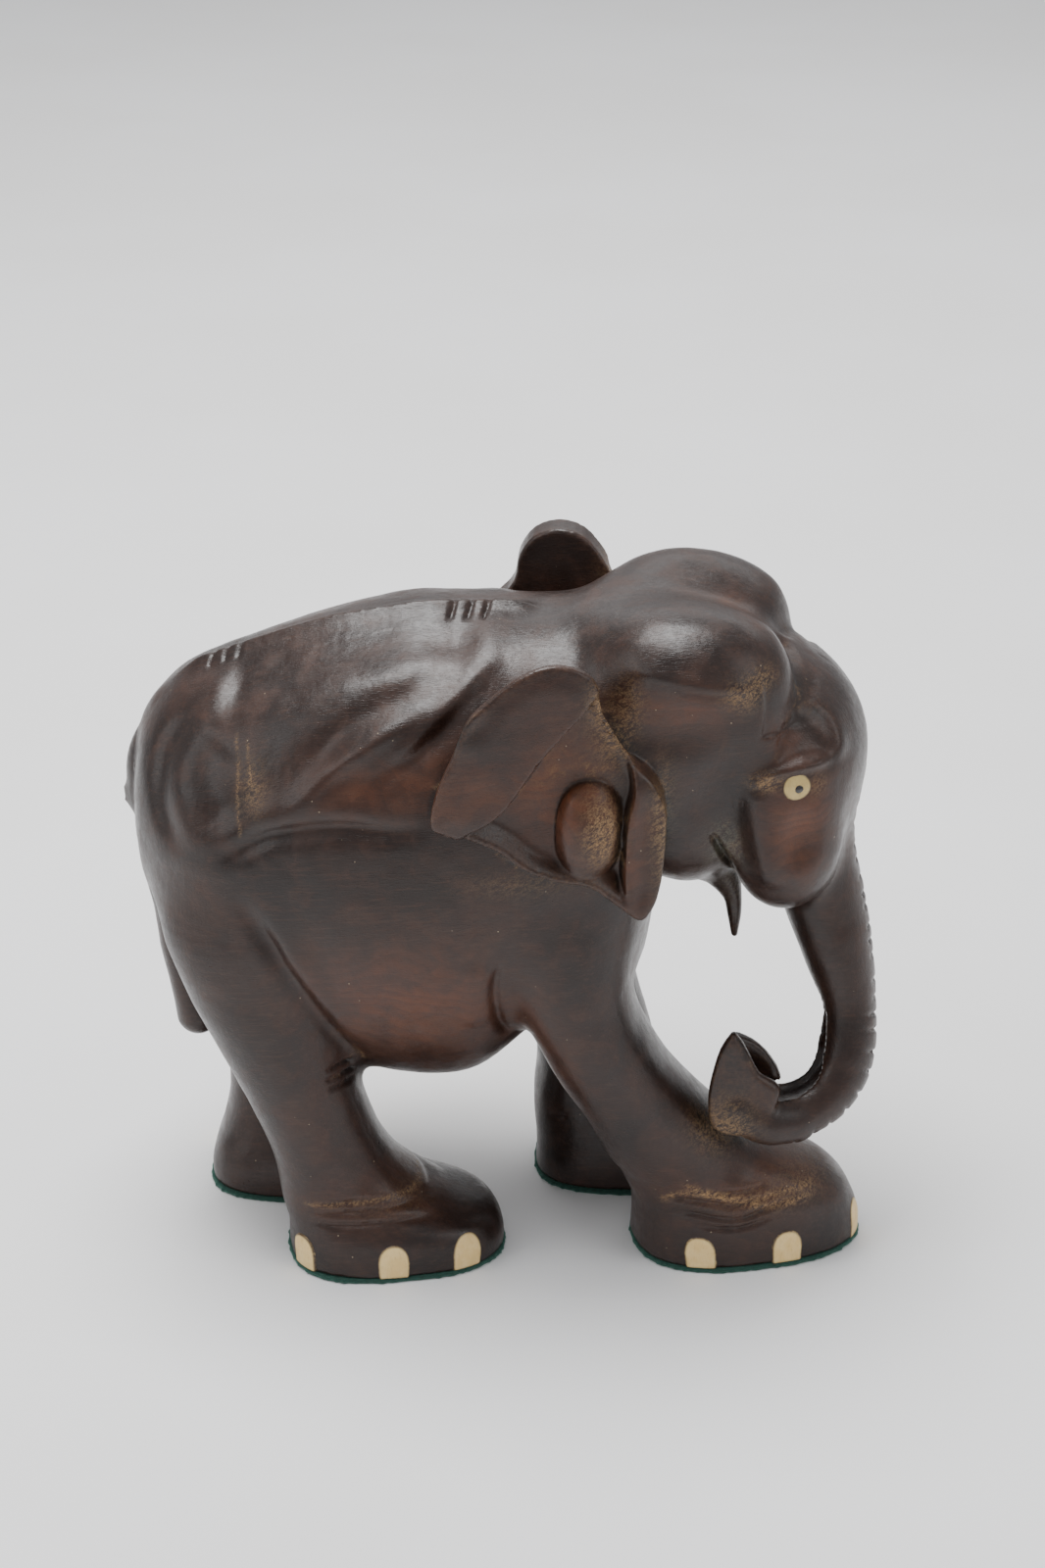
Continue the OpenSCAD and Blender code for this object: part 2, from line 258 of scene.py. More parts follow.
def surface_net(values, origin, step):
    """Quads of the zero surface of a block of values: one vertex in each cell that the surface crosses."""
    inside = values < 0
    n = np.array(values.shape) - 1
    count = np.zeros(n, np.int8)
    for i, j, k in np.ndindex(2, 2, 2):
        count += inside[i : i + n[0], j : j + n[1], k : k + n[2]]
    cell = (count > 0) & (count < 8)
    index = np.full(cell.shape, -1, np.int64)
    where = np.argwhere(cell)
    index[cell] = np.arange(len(where))
    total, hits = np.zeros((len(where), 3)), np.zeros(len(where))
    for axis in range(3):
        o1, o2 = [x for x in range(3) if x != axis]
        for b, c in np.ndindex(2, 2):
            lo = np.zeros(3, int)
            lo[o1], lo[o2] = b, c
            hi = lo.copy()
            hi[axis] = 1
            v0, v1 = values[tuple((where + lo).T)], values[tuple((where + hi).T)]
            cross = (v0 < 0) != (v1 < 0)
            point = np.tile(lo.astype(float), (len(where), 1))
            point[:, axis] = np.where(cross, v0 / np.where(cross, v0 - v1, 1), 0)
            total += np.where(cross[:, None], point, 0)
            hits += cross
    verts = (where + total / hits[:, None]) * step + origin
    quads = []
    for axis in range(3):
        a, b = [x for x in range(3) if x != axis]
        first, second = [slice(None)] * 3, [slice(None)] * 3
        first[axis], second[axis] = slice(0, -1), slice(1, None)
        at = np.argwhere(inside[tuple(first)] != inside[tuple(second)])
        at = at[(at[:, a] > 0) & (at[:, b] > 0) & (at[:, a] < n[a]) & (at[:, b] < n[b])]
        ring = []
        for da, db in ((-1, -1), (0, -1), (0, 0), (-1, 0)):
            c = at.copy()
            c[:, a] += da
            c[:, b] += db
            ring.append(index[tuple(c.T)])
        ring = np.stack(ring, 1)
        flip = inside[tuple(at.T)] ^ (axis == 1)
        ring[~flip] = ring[~flip][:, ::-1]
        quads.append(ring)
    return verts, np.vstack(quads)


def spread_out(shape_at, p, size=60000):
    """A field's values, worked out in slices side by side."""
    parts = [p[i : i + size] for i in range(0, len(p), size)]
    with ThreadPoolExecutor(4) as pool:
        return np.concatenate(list(pool.map(shape_at, parts)))


def sculpt(shape_at, lo, hi, step, levels=(5, 2), reach=1.5):
    """Vertices and quads of a field's zero surface in a box. Coarse passes find where the surface is."""
    lo = np.asarray(lo, float)
    size = step * levels[0] * levels[1]
    n = np.ceil((np.asarray(hi, float) - lo) / size).astype(int) + 1
    grid = np.stack(np.meshgrid(*[lo[i] + size * np.arange(n[i]) for i in range(3)], indexing="ij"), -1)
    values = spread_out(shape_at, grid.reshape(-1, 3)).reshape(n)
    origin = lo
    for times in levels:
        cells = np.argwhere(np.abs(values) < size * reach)
        values = np.where(values < 0, -FAR, FAR).astype(np.float32)
        for axis in range(3):
            values = np.repeat(values, times, axis)
        size /= times
        origin = origin - size * (times // 2)
        inner = np.stack(np.meshgrid(*[np.arange(times)] * 3, indexing="ij"), -1).reshape(-1, 3)
        at = (cells[:, None, :] * times + inner[None]).reshape(-1, 3)
        values[tuple(at.T)] = spread_out(shape_at, origin + at * size)
    return surface_net(values, origin, size)


def slope(shape_at, p, h=0.25):
    """A field's gradient, from four points round each one."""
    k = np.array([[1, -1, -1], [-1, -1, 1], [-1, 1, -1], [1, 1, 1]], float)
    return sum(k[i] * spread_out(shape_at, p + h * k[i])[:, None] for i in range(4)) / (4 * h)


def settle(shape_at, verts, rounds):
    """Moves vertices onto the zero surface."""
    for _ in range(rounds):
        g = slope(shape_at, verts)
        g2 = np.maximum((g**2).sum(1), 0.05)
        verts = verts - np.clip(spread_out(shape_at, verts) / g2, -0.6, 0.6)[:, None] * g
    return verts


LATTICE = np.random.RandomState(11).rand(32, 32, 32)


def noise(p, scale, seed):
    """Smooth random values from -1 to 1, features about `scale` mm across."""
    q = p / scale + seed * 7.31
    i = np.floor(q).astype(int)
    f = q - i
    f = f * f * (3 - 2 * f)
    out = np.zeros(len(p))
    for a, b, c in np.ndindex(2, 2, 2):
        w = np.abs(1 - a - f[:, 0]) * np.abs(1 - b - f[:, 1]) * np.abs(1 - c - f[:, 2])
        out += w * LATTICE[(i[:, 0] + a) % 32, (i[:, 1] + b) % 32, (i[:, 2] + c) % 32]
    return out * 2 - 1


# ---- the elephant, in mm, heights from its soles
# barrel() says what a torso row holds, column() a leg row and tube() the others.

TORSO = [
    [-98.6, 122, 4, 5, 5, 2],
    [-97, 122, 14, 18, 18, 2],
    [-94, 123, 23, 26, 28, 2],
    [-86, 124, 32, 34, 37, 2.1],
    [-75, 122, 39, 41.5, 42, 2.1],
    [-58, 117, 44, 53.5, 52, 2.1],
    [-40, 113, 46.5, 63, 65, 2.1],
    [-22, 112, 47, 67.3, 68.5, 2.1],
    [-6, 113, 46.5, 66.3, 66.5, 2.1],
    [10, 117, 44, 60.5, 56, 2.1],
    [24, 121, 41, 56, 50, 2.2],
    [33, 121, 36, 49, 46, 2.3],
    [38, 120, 28, 41, 38, 2.3],
    [41, 119, 14, 22, 20, 2.2],
    [42, 119, 4, 5, 5, 2],
]
LEGS = {
    "right_rear": [
        [0, -28.5, -25.5, 29.5, 21.2, 12, 2.6],
        [5, -28.8, -25.5, 29.3, 21, 12, 2.6],
        [10, -31, -25.5, 27.5, 20.3, 12, 2.5],
        [15, -37.5, -25.5, 22.3, 19, 11, 2.3],
        [23, -43.3, -25.5, 17.5, 17, 10, 2.2],
        [32, -47.3, -26, 15.6, 16, 5, 2.1],
        [43, -51.5, -26, 15.5, 16, 0, 2.1],
        [59, -57, -26, 17, 17, 0, 2.1],
        [79, -62, -25, 21.5, 19, 0, 2.1],
        [99, -63.5, -23, 26.5, 20.5, 0, 2.1],
        [117, -62, -20, 24, 18, 0, 2],
    ],
    "left_rear": [
        [0, -60.5, 10.5, 23.5, 20.2, -2, 3],
        [5, -60.5, 10.5, 23.3, 20, -2, 3],
        [10, -61, 11, 21.5, 19.3, -2, 2.8],
        [15, -62, 12, 18.8, 18.4, -2, 2.5],
        [23, -63, 14, 16.2, 17, -2, 2.3],
        [32, -63, 16, 16.3, 16, 0, 2.1],
        [43, -64.5, 18.5, 16.5, 16, 0, 2.1],
        [59, -66, 21.5, 18.2, 17, 0, 2.1],
        [79, -65.5, 23, 22, 19, 0, 2.1],
        [99, -65, 22.5, 26.5, 20.5, 0, 2.1],
        [117, -62, 20, 24, 18, 0, 2],
    ],
    "right_front": [
        [0, 67.5, -15, 31.5, 21, 15, 2.5],
        [5, 67.4, -15, 31.4, 20.9, 15, 2.5],
        [10, 66.6, -15.2, 30.8, 20.6, 15, 2.4],
        [15, 65, -15.8, 29.8, 20, 14, 2.3],
        [20, 61.5, -16.5, 28.3, 19.3, 13, 2.2],
        [24, 57, -17.6, 25.6, 18.6, 12, 2.1],
        [28, 51.5, -18.8, 22.8, 18, 10, 2.1],
        [34, 46.5, -20.3, 20.5, 17.5, 7, 2.1],
        [42, 40.5, -21.8, 18.5, 17, 4, 2.1],
        [53, 32.5, -23.5, 16.8, 17, 0, 2.1],
        [65, 26, -25, 15.7, 17.5, 0, 2.1],
        [79, 20, -25.5, 16.2, 18, 0, 2.1],
        [99, 15.5, -24.5, 20, 18.5, 0, 2.1],
        [117, 14, -21, 19, 16, 0, 2],
    ],
    "left_front": [
        [0, 32.5, 18.5, 24.5, 19.6, 0, 2.8],
        [5, 32.5, 18.5, 24.3, 19.4, 0, 2.8],
        [10, 31.5, 18.8, 23.5, 19, 0, 2.6],
        [16, 29, 19.5, 21.5, 18.5, 0, 2.4],
        [24, 26.5, 20.5, 19, 17.8, 0, 2.2],
        [32, 25.2, 21.5, 17.3, 17.2, 0, 2.1],
        [43, 23.5, 22.5, 16.3, 17, 0, 2.1],
        [59, 19.5, 24.3, 15.5, 17.3, 0, 2.1],
        [79, 15.5, 25, 15.2, 18, 0, 2.1],
        [99, 13, 24.5, 17.8, 18.5, 0, 2.1],
        [117, 13, 21, 17.5, 16, 0, 2],
    ],
}
NECK = [[0, 0, 148, 34, 27], [26, 0, 146, 37, 34], [44, 0, 144, 33, 35], [60, 0, 144, 27, 29]]
TRUNK = [
    [64, 0, 148, 25, 22],
    [76, -1, 128, 19, 18],
    [82.5, -3, 112, 14.5, 11.8],
    [86, -5, 99, 12.3, 11],
    [90.2, -8, 85, 11, 9.5],
    [94, -12, 69, 9.5, 7.4],
    [93, -17, 55.5, 9, 7.8],
    [88.8, -21, 48, 8.7, 7.6],
    [82, -24.5, 44.3, 8.5, 7.3],
    [73, -28, 42.8, 8.5, 6.6],
]
JAW = [
    [50, 0, 114, 12, 10],
    [55, -1, 109, 10, 8],
    [59, -1.5, 103, 6, 5],
    [61.6, -2, 97, 3.4, 2.8],
    [62.4, -2.5, 91, 2.3, 1.8],
    [62.6, -3, 85.5, 0.8, 0.8],
]
TAIL = [
    [-88, 0, 147, 5, 5],
    [-94.3, 0, 136.5, 6, 5.3],
    [-96.6, 0.5, 128, 6.5, 4.5],
    [-95.4, 1, 118, 6.3, 4],
    [-95, 2, 104, 6, 4.2],
    [-92.5, 3, 88, 5.5, 4],
    [-91.3, 4, 74, 5, 4],
    [-88.8, 5, 62, 5.5, 4.6],
    [-86, 5, 51.5, 6.5, 6],
]
EAR_BACK = [(4.6, 179.7), (-1.4, 174.4), (-6.6, 166.6), (-11.1, 157), (-14.5, 147.2), (-15.3, 142.5), (-14.3, 139.8)]
EAR_FRONT = [
    (-6.2, 136.4), (0.6, 132.6), (6.6, 127.8), (14.2, 123.6), (24, 121), (29.3, 117), (34, 113), (37.7, 110.2),
    (40.6, 114), (42.6, 121.2), (43.6, 133), (43.6, 140), (42.3, 144.5), (39.8, 150.5), (36.7, 156), (33.4, 162.4),
    (29.6, 167.5), (27.4, 172.5),
]
RIGHT_EAR_TOP = [(26, 176.8), (24, 180.2), (19.6, 182.6), (15, 183.5), (10.4, 182.8)]
RIGHT_EAR = spline(RIGHT_EAR_TOP + EAR_BACK + EAR_FRONT, 3, closed=True)
LEFT_EAR_TOP = [
    (28.5, 170), (25, 176.5), (19.5, 182.8), (12.5, 184.3), (6, 181.5), (2, 175.5), (0.5, 168), (-5.5, 160),
]
LEFT_EAR = spline(LEFT_EAR_TOP + EAR_BACK[3:] + EAR_FRONT[:-2], 3, closed=True)
# the raised parts of the ear: its upper flap and its front leaf
FLAP = spline(
    [
        (27.5, 178), (25.4, 173.7), (22.2, 169.4), (17.9, 164.6), (12.2, 157.6), (7, 149.8), (3, 144.3), (-2, 140.5),
        (-6.5, 138.4), (-14, 135), (-24, 143), (-16, 160), (-8, 176), (3, 188), (18, 192), (28, 188),
    ],
    3, closed=True,
)
LEAF = spline(
    [
        (30.5, 166), (32, 162), (34.6, 155), (35.3, 146), (33.6, 138.3), (33.2, 128.6), (33.2, 120), (35, 112),
        (38, 106), (50, 114), (50, 150), (38, 170),
    ],
    3, closed=True,
)
EAR_THICKNESS, EAR_HOLLOW = 6.5, 4.0
KNOB_X, KNOB_Z, KNOB_LENGTH, KNOB_HEIGHT, KNOB_POWER = 24, 135.5, 8.6, 14, 2.3


def ear_plane(x):
    """How far from the middle the ear's face is; it swings out towards the back."""
    return 45.2 + 0.19 * (20 - x)


def ear_relief(x, z, edge):
    """How far the ear's face stands out of its plane."""
    flap = ramp(-loop_distance(x, z, FLAP), -0.9, 0.7)
    leaf_in = -loop_distance(x, z, LEAF)
    leaf = ramp(leaf_in, -1.4, 0.9)
    across = np.abs((x - KNOB_X) / KNOB_LENGTH) ** KNOB_POWER
    knob_q = (across + np.abs((z - KNOB_Z) / KNOB_HEIGHT) ** KNOB_POWER) ** (1 / KNOB_POWER)
    knob = -EAR_HOLLOW + 7.6 * np.clip(1 - knob_q**2.2, 0, 1) ** 0.62 - 8 * np.clip(knob_q - 1, 0, None)
    hollow = (1 - flap) * (1 - leaf) * ramp(edge, 0.5, 6)
    out = flap * (1.9 + 0.9 * ramp(edge, 0, 7))
    out += leaf * (0.9 - 0.9 * ramp(leaf_in, 1, 5) * ramp(edge, 0.5, 4))
    out -= EAR_HOLLOW * hollow
    out = smooth_max(out, knob, 1.0)
    low = ramp(127 - z + 0.35 * (x - 10), -6, 4) * (1 - ramp(edge, 1, 5)) * (1 - leaf)
    out += low
    gap = np.exp(-(((x - 28.5) / 3.2) ** 2) - ((z - 169) / 6.5) ** 2)
    return out - 2.3 * gap


def ear(side):
    def field(p):
        x, z, y = p[:, 0], p[:, 2], p[:, 1] * side
        edge = loop_distance(x, z, LEFT_EAR if side > 0 else RIGHT_EAR)
        face = ear_plane(x)
        outer = y - face - ear_relief(x, z, -edge)
        inner = face - EAR_THICKNESS - y
        # the right ear is undercut at the top, so its rim looks thin from above
        rim = edge + (0.55 * np.clip(face - y, 0, 7) * ramp(z, 148, 162) if side < 0 else 0)
        return smooth_max(rim, smooth_max(outer, inner, 1.5), 1.0)

    lo = np.array([-17, 36 if side > 0 else -57, 112.0])
    hi = np.array([46, 57 if side > 0 else -36, 187.0])
    return field, lo, hi


def masses(k):
    """The large forms."""
    k.add(barrel(TORSO, 1.9, 2.35), 0)
    for name, rows in LEGS.items():
        k.add(column(rows), 8 if "rear" in name else 6)
    k.add(tube(NECK, ends=0.5), 8)
    k.add(ellipsoid((47, 0, 158), (29, 34, 23)), 9)
    for s in (-1, 1):
        k.add(ellipsoid((50, s * 18, 171.5), (25.5, 19, 15.5), pitch=-6), 8)
    k.add(ellipsoid((33, 0, 160), (20, 26, 23.5)), 8)
    for s in (-1, 1):
        k.add(ellipsoid((65, s * 20, 160), (10, 11, 12)), 8)
    k.add(ellipsoid((72, 0, 141.5), (24, 32, 26.5)), 7)
    for s in (-1, 1):
        k.add(ellipsoid((74.5, s * 19, 124), (15, 13.5, 20.5)), 6)
    k.add(tube(TRUNK), 6)
    k.add(ellipsoid((49, 0, 128), (19, 29, 24)), 6)
    k.add(tube(JAW), 4)
    k.add(tube(TAIL), 4)
    for s in (-1, 1):
        k.add(ear(s), 1.5)


NEAR_LIP = spline(
    [
        (62.7, 71.5), (64.2, 70), (65.6, 68), (67.5, 64.3), (69.7, 60), (72.5, 58), (75.2, 55.8), (75.2, 52), (72, 46),
        (64, 41), (58, 43), (56.5, 49), (56.6, 55), (57.6, 61), (59.2, 66.5), (61.6, 70.5),
    ],
    2, closed=True,
)
FAR_LIP = spline(
    [(62, 66), (66, 65.5), (70, 62.8), (73.2, 59), (76, 53), (74, 45), (66, 42), (59, 46), (59, 58)],
    2, closed=True,
)
EYE_HOLLOW = spline(
    [(72, 157), (75.5, 159.5), (79.5, 157.5), (82.5, 154.5), (84, 151), (78, 151.2), (72.5, 150.8)],
    2, closed=True,
)


def lip(loop, y, thick, lean):
    """One lip of the trunk's tip: an outline in the side view, with a rounded edge."""

    def field(p):
        edge = loop_distance(p[:, 0], p[:, 2], loop)
        return smooth_max(edge, np.abs(p[:, 1] - y - lean * (p[:, 2] - 50)) - thick / 2, 2.2)

    return field, np.array([54, y - 5.0, 39]), np.array([78, y + 5.0, 73])


def eye_hollow(side):
    """A three-cornered hollow with an upright wall and a ledge at its foot."""

    def field(p):
        edge = loop_distance(p[:, 0], p[:, 2], EYE_HOLLOW)
        # the wall leans in towards the front and the top
        wall = 25 - 0.5 * (p[:, 0] - 77) - 0.52 * (p[:, 2] - 156)
        return smooth_max(edge, wall - side * p[:, 1], 3)

    low, high = sorted((side * 16, side * 44))
    return field, np.array([67, low, 147]), np.array([88, high, 166])


def trunk_tip(k):
    k.add(tube([[78, -26, 42.5, 8.5, 6.4], [70, -28.5, 44.5, 8.5, 7.4], [64.5, -29, 48, 7.5, 7]]), 3)
    k.add(lip(NEAR_LIP, -33.2, 4.6, 0.06), 1.6)
    k.add(lip(FAR_LIP, -23.2, 5.0, -0.04), 1.6)
    k.cut(ellipsoid((69.5, -28.4, 60), (6.2, 3.3, 11)), 1.2)
    # the channel along the trunk's inner side
    channel = [[86.3, -8, 84, 3.2, 2.2], [88.6, -13, 68, 3.8, 2.6], [87.4, -17.5, 57, 4.2, 2.8]]
    k.cut(tube(channel + [[83, -21.5, 51, 4.6, 3], [77, -25, 49, 4.6, 2.8], [72, -27, 51.5, 4, 2.6]]), 1.0)


def draw(k, lines, side):
    """Cuts and ridges on one side: path in the side view, half width, lift, share that tapers."""
    for path, width, lift, taper in lines:
        k.stroke(path, width, lift, taper, side)


TEMPLE_LINES = [
    ([(31, 171.5), (42, 170.5), (51, 168.5), (59, 167.5), (66, 167.5)], 4.6, -0.9, 0.3),
    ([(30, 176.5), (42, 175.5), (51, 174), (59, 173), (66, 172)], 2.4, 0.8, 0.2),
]
EYE_LINES = [
    # the lid, then the front edge of the hollow
    ([(64, 143.5), (67.5, 146.5), (72, 148.3), (77, 149.2), (82, 149.6), (87, 149.6)], 1.4, 1.3, 0.2),
    ([(79, 164), (84, 160.5), (87.3, 155), (88, 147)], 1.9, 1.1, 0.2),
]
CHEEK_LINES = [
    ([(66, 144.5), (66.5, 137), (67.8, 129), (69.6, 121), (71.5, 113)], 3.0, 1.2, 0.15),
    # mouth
    ([(54.5, 130), (56.5, 126), (58.6, 121), (60.8, 116), (63, 111)], 0.9, -1.5, 0.3),
    ([(57.5, 130), (60, 124), (62.4, 118), (64.5, 111)], 2.4, 0.7, 0.3),
]
FLANK_LINES = [
    # hip
    ([(-76, 155), (-81.5, 152), (-85.5, 147), (-87, 140), (-86.5, 133), (-84, 127), (-79, 123)], 3.4, -2.2, 0.3),
    ([(-72, 154), (-73, 146), (-71, 138), (-66, 131)], 7, -2.0, 0.3),
    # fold along the flank and the skin folds that run down to it
    ([(-74, 123), (-66, 126.5), (-58, 131.5), (-48.5, 134), (-38, 135.5), (-26, 135), (-13, 137)], 2.6, -1.7, 0.25),
    ([(-66, 133), (-55, 138.5), (-42, 141), (-28, 141)], 4.5, 1.1, 0.3),
    ([(2, 176), (-5, 172), (-11, 167), (-17, 161), (-23, 156), (-29, 152)], 2.6, 1.4, 0.3),
    ([(-8, 171), (-18, 164.5), (-30, 158.5), (-37, 154), (-43.5, 148.5), (-49, 142.5), (-55, 136)], 3.0, 2.0, 0.3),
    ([(-2, 168), (-8, 162), (-14, 156), (-20, 150)], 3.0, 0.9, 0.3),
    ([(-12, 173), (-22, 167.5), (-33, 162), (-43, 154), (-51, 145)], 3.4, -1.4, 0.3),
    ([(-4, 165.5), (-14, 158), (-26, 150), (-38, 143)], 3.2, -1.2, 0.3),
    # broad roll down from the withers
    ([(-14, 174), (-24, 166), (-34, 157), (-42, 149)], 7, 1.2, 0.3),
    # shoulder
    ([(1.5, 99), (0, 90), (0, 82), (1, 74), (4, 67)], 1.3, -1.5, 0.2),
    ([(-3, 98), (-4.5, 86), (-3.5, 74)], 4.5, 0.8, 0.2),
]
CREST = [(-88, -1), (-75, -2), (-60, -3), (-40, -3.5), (-20, -3), (-2, -1), (12, 0)]
RIGHT_THIGH = [
    (-68, 117), (-63, 109), (-59, 102), (-55.5, 95), (-51.5, 87.5), (-47, 78.5), (-42.5, 70), (-38, 62), (-37, 55),
]
LEFT_THIGH = [(-71, 119), (-66, 111), (-61, 102), (-57, 92), (-53, 82), (-49, 72), (-46, 62)]


def head_lines(k):
    for s in (-1, 1):
        # hollow temple under the forehead's dome
        k.cut(ellipsoid((50, s * 47, 160), (20, 12.5, 8.5), pitch=4), 7)
        draw(k, TEMPLE_LINES, s)
        # valley between the dome and the root of the trunk
        valley = [(71, 0), (73.5, s * 10), (75, s * 18), (74.5, s * 25), (71, s * 31), (68, s * 34)]
        k.stroke(valley, 3.0, -1.2, 0.1, heights=(158, 184))
        k.cut(eye_hollow(s), 2.5)
        draw(k, EYE_LINES, s)
        # flat of the face below the eye, with the edge of the cheek behind it
        k.cut(ellipsoid((79.5, s * 45.5, 129), (11, 15.8, 17), pitch=-6), 2.2)
        draw(k, CHEEK_LINES, s)


def body_lines(k):
    # crest of the back, sharp, with the flats beside it and the cuts across it
    top = (140, 200)
    k.stroke(CREST, 2.8, 2.3, 0.12, heights=top, power=1.3)
    k.stroke([(x, y - 13) for x, y in CREST[1:-1]], 8, -2.2, 0.15, heights=top)
    k.stroke([(x, 13) for x, _ in CREST[1:-1]], 8, -0.6, 0.15, heights=top)
    for x in (-12.5, -8.1, -3.9):
        k.stroke([(x + 0.8, 1.5), (x, -3), (x - 1.2, -9)], 0.6, -1.1, heights=(150, 200))
    for x in (-76, -72.2, -68.4):
        k.stroke([(x + 0.3, 1), (x, -3), (x - 0.7, -7)], 0.5, -0.55, heights=top)
    for s in (-1, 1):
        draw(k, FLANK_LINES, s)
    draw(k, [(RIGHT_THIGH, 2.8, -2.4, 0.3), ([(x + 4, z) for x, z in RIGHT_THIGH[2:-1]], 4.5, 0.7, 0.3)], -1)
    draw(k, [(LEFT_THIGH, 2.8, -2.2, 0.3)], 1)
    # short creases at the back of the knee
    for z, x0, x1 in ((59.5, -46, -38.5), (56.5, -46.5, -38), (53.8, -45.5, -38.5)):
        draw(k, [([(x0, z + 0.6), ((x0 + x1) / 2, z + 0.3), (x1, z - 1.2)], 0.55, -0.9, 0.3)], -1)
        draw(k, [([(x0 - 8, z), (x1 - 8, z - 1)], 0.55, -0.8, 0.3)], 1)


def foot_lines(k):
    """Creases over the toes, and the same ones moved back to where the left feet stand."""
    front = [
        [(41, 18.5), (49, 21), (56, 20.5), (64, 19), (72, 20), (82, 22)],
        [(45, 15.5), (52, 17), (60, 15.5), (67, 15), (76, 18), (84, 19)],
        [(52, 14), (60, 12.5), (68, 12.5), (78, 16)],
        [(56, 23), (66, 22.5), (76, 24)],
    ]
    rear = [
        [(-54, 17.5), (-42, 18.5), (-29.5, 18.5), (-18.5, 17), (-11, 14.5)],
        [(-52, 15), (-40.5, 15), (-26.5, 15), (-13.5, 13.5)],
        [(-49, 20.5), (-38, 21), (-26, 20)],
        [(-24, 22.5), (-18, 21.5), (-13, 19)],
    ]
    draw(k, [(path, 0.7, -0.9, 0.3) for path in front + rear], -1)
    for paths, shift in ((rear, 26), (front, 32)):
        draw(k, [([(x - shift, z) for x, z in path], 0.7, -0.8, 0.3) for path in paths], 1)


NOTCHES, NOTCH_START, NOTCH_STEP, NOTCH_WIDTH, NOTCH_DEPTH = 26, 10, 4.6, 0.6, 1.1


def trunk_notches(k):
    """Short cuts across the front of the trunk, then across the outside of its bend."""
    line = spline(TRUNK, 8)
    c, depth = line[:, :3], line[:, 4]
    t = np.gradient(c, axis=0)
    t /= np.linalg.norm(t, axis=1)[:, None]
    out = np.stack([-t[:, 2], np.zeros(len(t)), t[:, 0]], 1)
    out /= np.linalg.norm(out, axis=1)[:, None]
    arc = np.concatenate([[0], np.cumsum(np.linalg.norm(np.diff(c, axis=0), axis=1))])
    for i in range(NOTCHES):
        s = NOTCH_START + i * NOTCH_STEP
        j = int(np.argmin(np.abs(arc - s)))
        if j >= len(c) - 3:
            break
        o = out[j] if out[j, 0] > -0.2 or c[j, 2] < 60 else -out[j]
        o = o if o @ (c[j] - np.array([70, 0, 85])) > 0 else -o
        spot = c[j] + o * depth[j]
        half = 3.2 if s < 85 else 6.5
        i_near = np.flatnonzero((np.abs(k.p - spot) < 8).all(1) & (np.abs(k.d) < 4))
        if not len(i_near):
            continue
        q = k.p[i_near] - spot
        along = q @ t[j] + 0.10 * np.abs(q[:, 1])
        amount = np.exp(-((along / NOTCH_WIDTH) ** 2)) * np.exp(-((q[:, 1] / half) ** 4))
        k.d[i_near] += NOTCH_DEPTH * (amount * np.exp(-((q @ o / 4) ** 2)))


def carving(p):
    """Distance to the carving's surface, negative inside."""
    k = Clay(p)
    for step in (masses, trunk_tip, head_lines, body_lines, foot_lines, trunk_notches):
        step(k)
    return smooth_max(k.d, -p[:, 2], 1.0)


# ---- from the clay to the row frame
# the drawn carving's length, and how far its tail reaches behind the middle
DRAWN_LENGTH, DRAWN_BACK = 202.22, 100.88
corner_lo, corner_hi = [np.array(c) * 1000 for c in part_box("carved_body")]
SCALE = (corner_hi[0] - corner_lo[0]) / DRAWN_LENGTH
ORIGIN = np.array([corner_lo[0] + DRAWN_BACK * SCALE, (corner_lo[1] + corner_hi[1]) / 2, corner_lo[2]])


def to_frame(p):
    return (ORIGIN + SCALE * np.asarray(p)) / 1000


def to_clay(p):
    return (np.asarray(p) * 1000 - ORIGIN) / SCALE


def centre_of(node):
    low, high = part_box(node)
    return to_clay((np.array(low) + np.array(high)) / 2)


def make_piece(name, verts, faces, material, slot, nodes, **marks):
    """A mesh from vertices in clay space and faces of equal length, riding on the figure."""
    faces = np.asarray(faces)
    mesh = bpy.data.meshes.new(name)
    mesh.vertices.add(len(verts))
    mesh.vertices.foreach_set("co", to_frame(verts).astype(np.float32).ravel())
    mesh.loops.add(faces.size)
    mesh.loops.foreach_set("vertex_index", faces.astype(np.int32).ravel())
    mesh.polygons.add(len(faces))
    mesh.polygons.foreach_set("loop_start", np.arange(0, faces.size, faces.shape[1], dtype=np.int32))
    mesh.polygons.foreach_set("loop_total", np.full(len(faces), faces.shape[1], np.int32))
    mesh.update(calc_edges=True)
    mesh.validate()
    mesh.shade_smooth()
    for key, values in marks.items():
        mesh.attributes.new(key, "FLOAT", "POINT").data.foreach_set("value", values.astype(np.float32))
    mesh.materials.append(material)
    piece = bpy.data.objects.new(name, mesh)
    bpy.context.collection.objects.link(piece)
    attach(piece, "root")
    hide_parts(*nodes)
    return piece


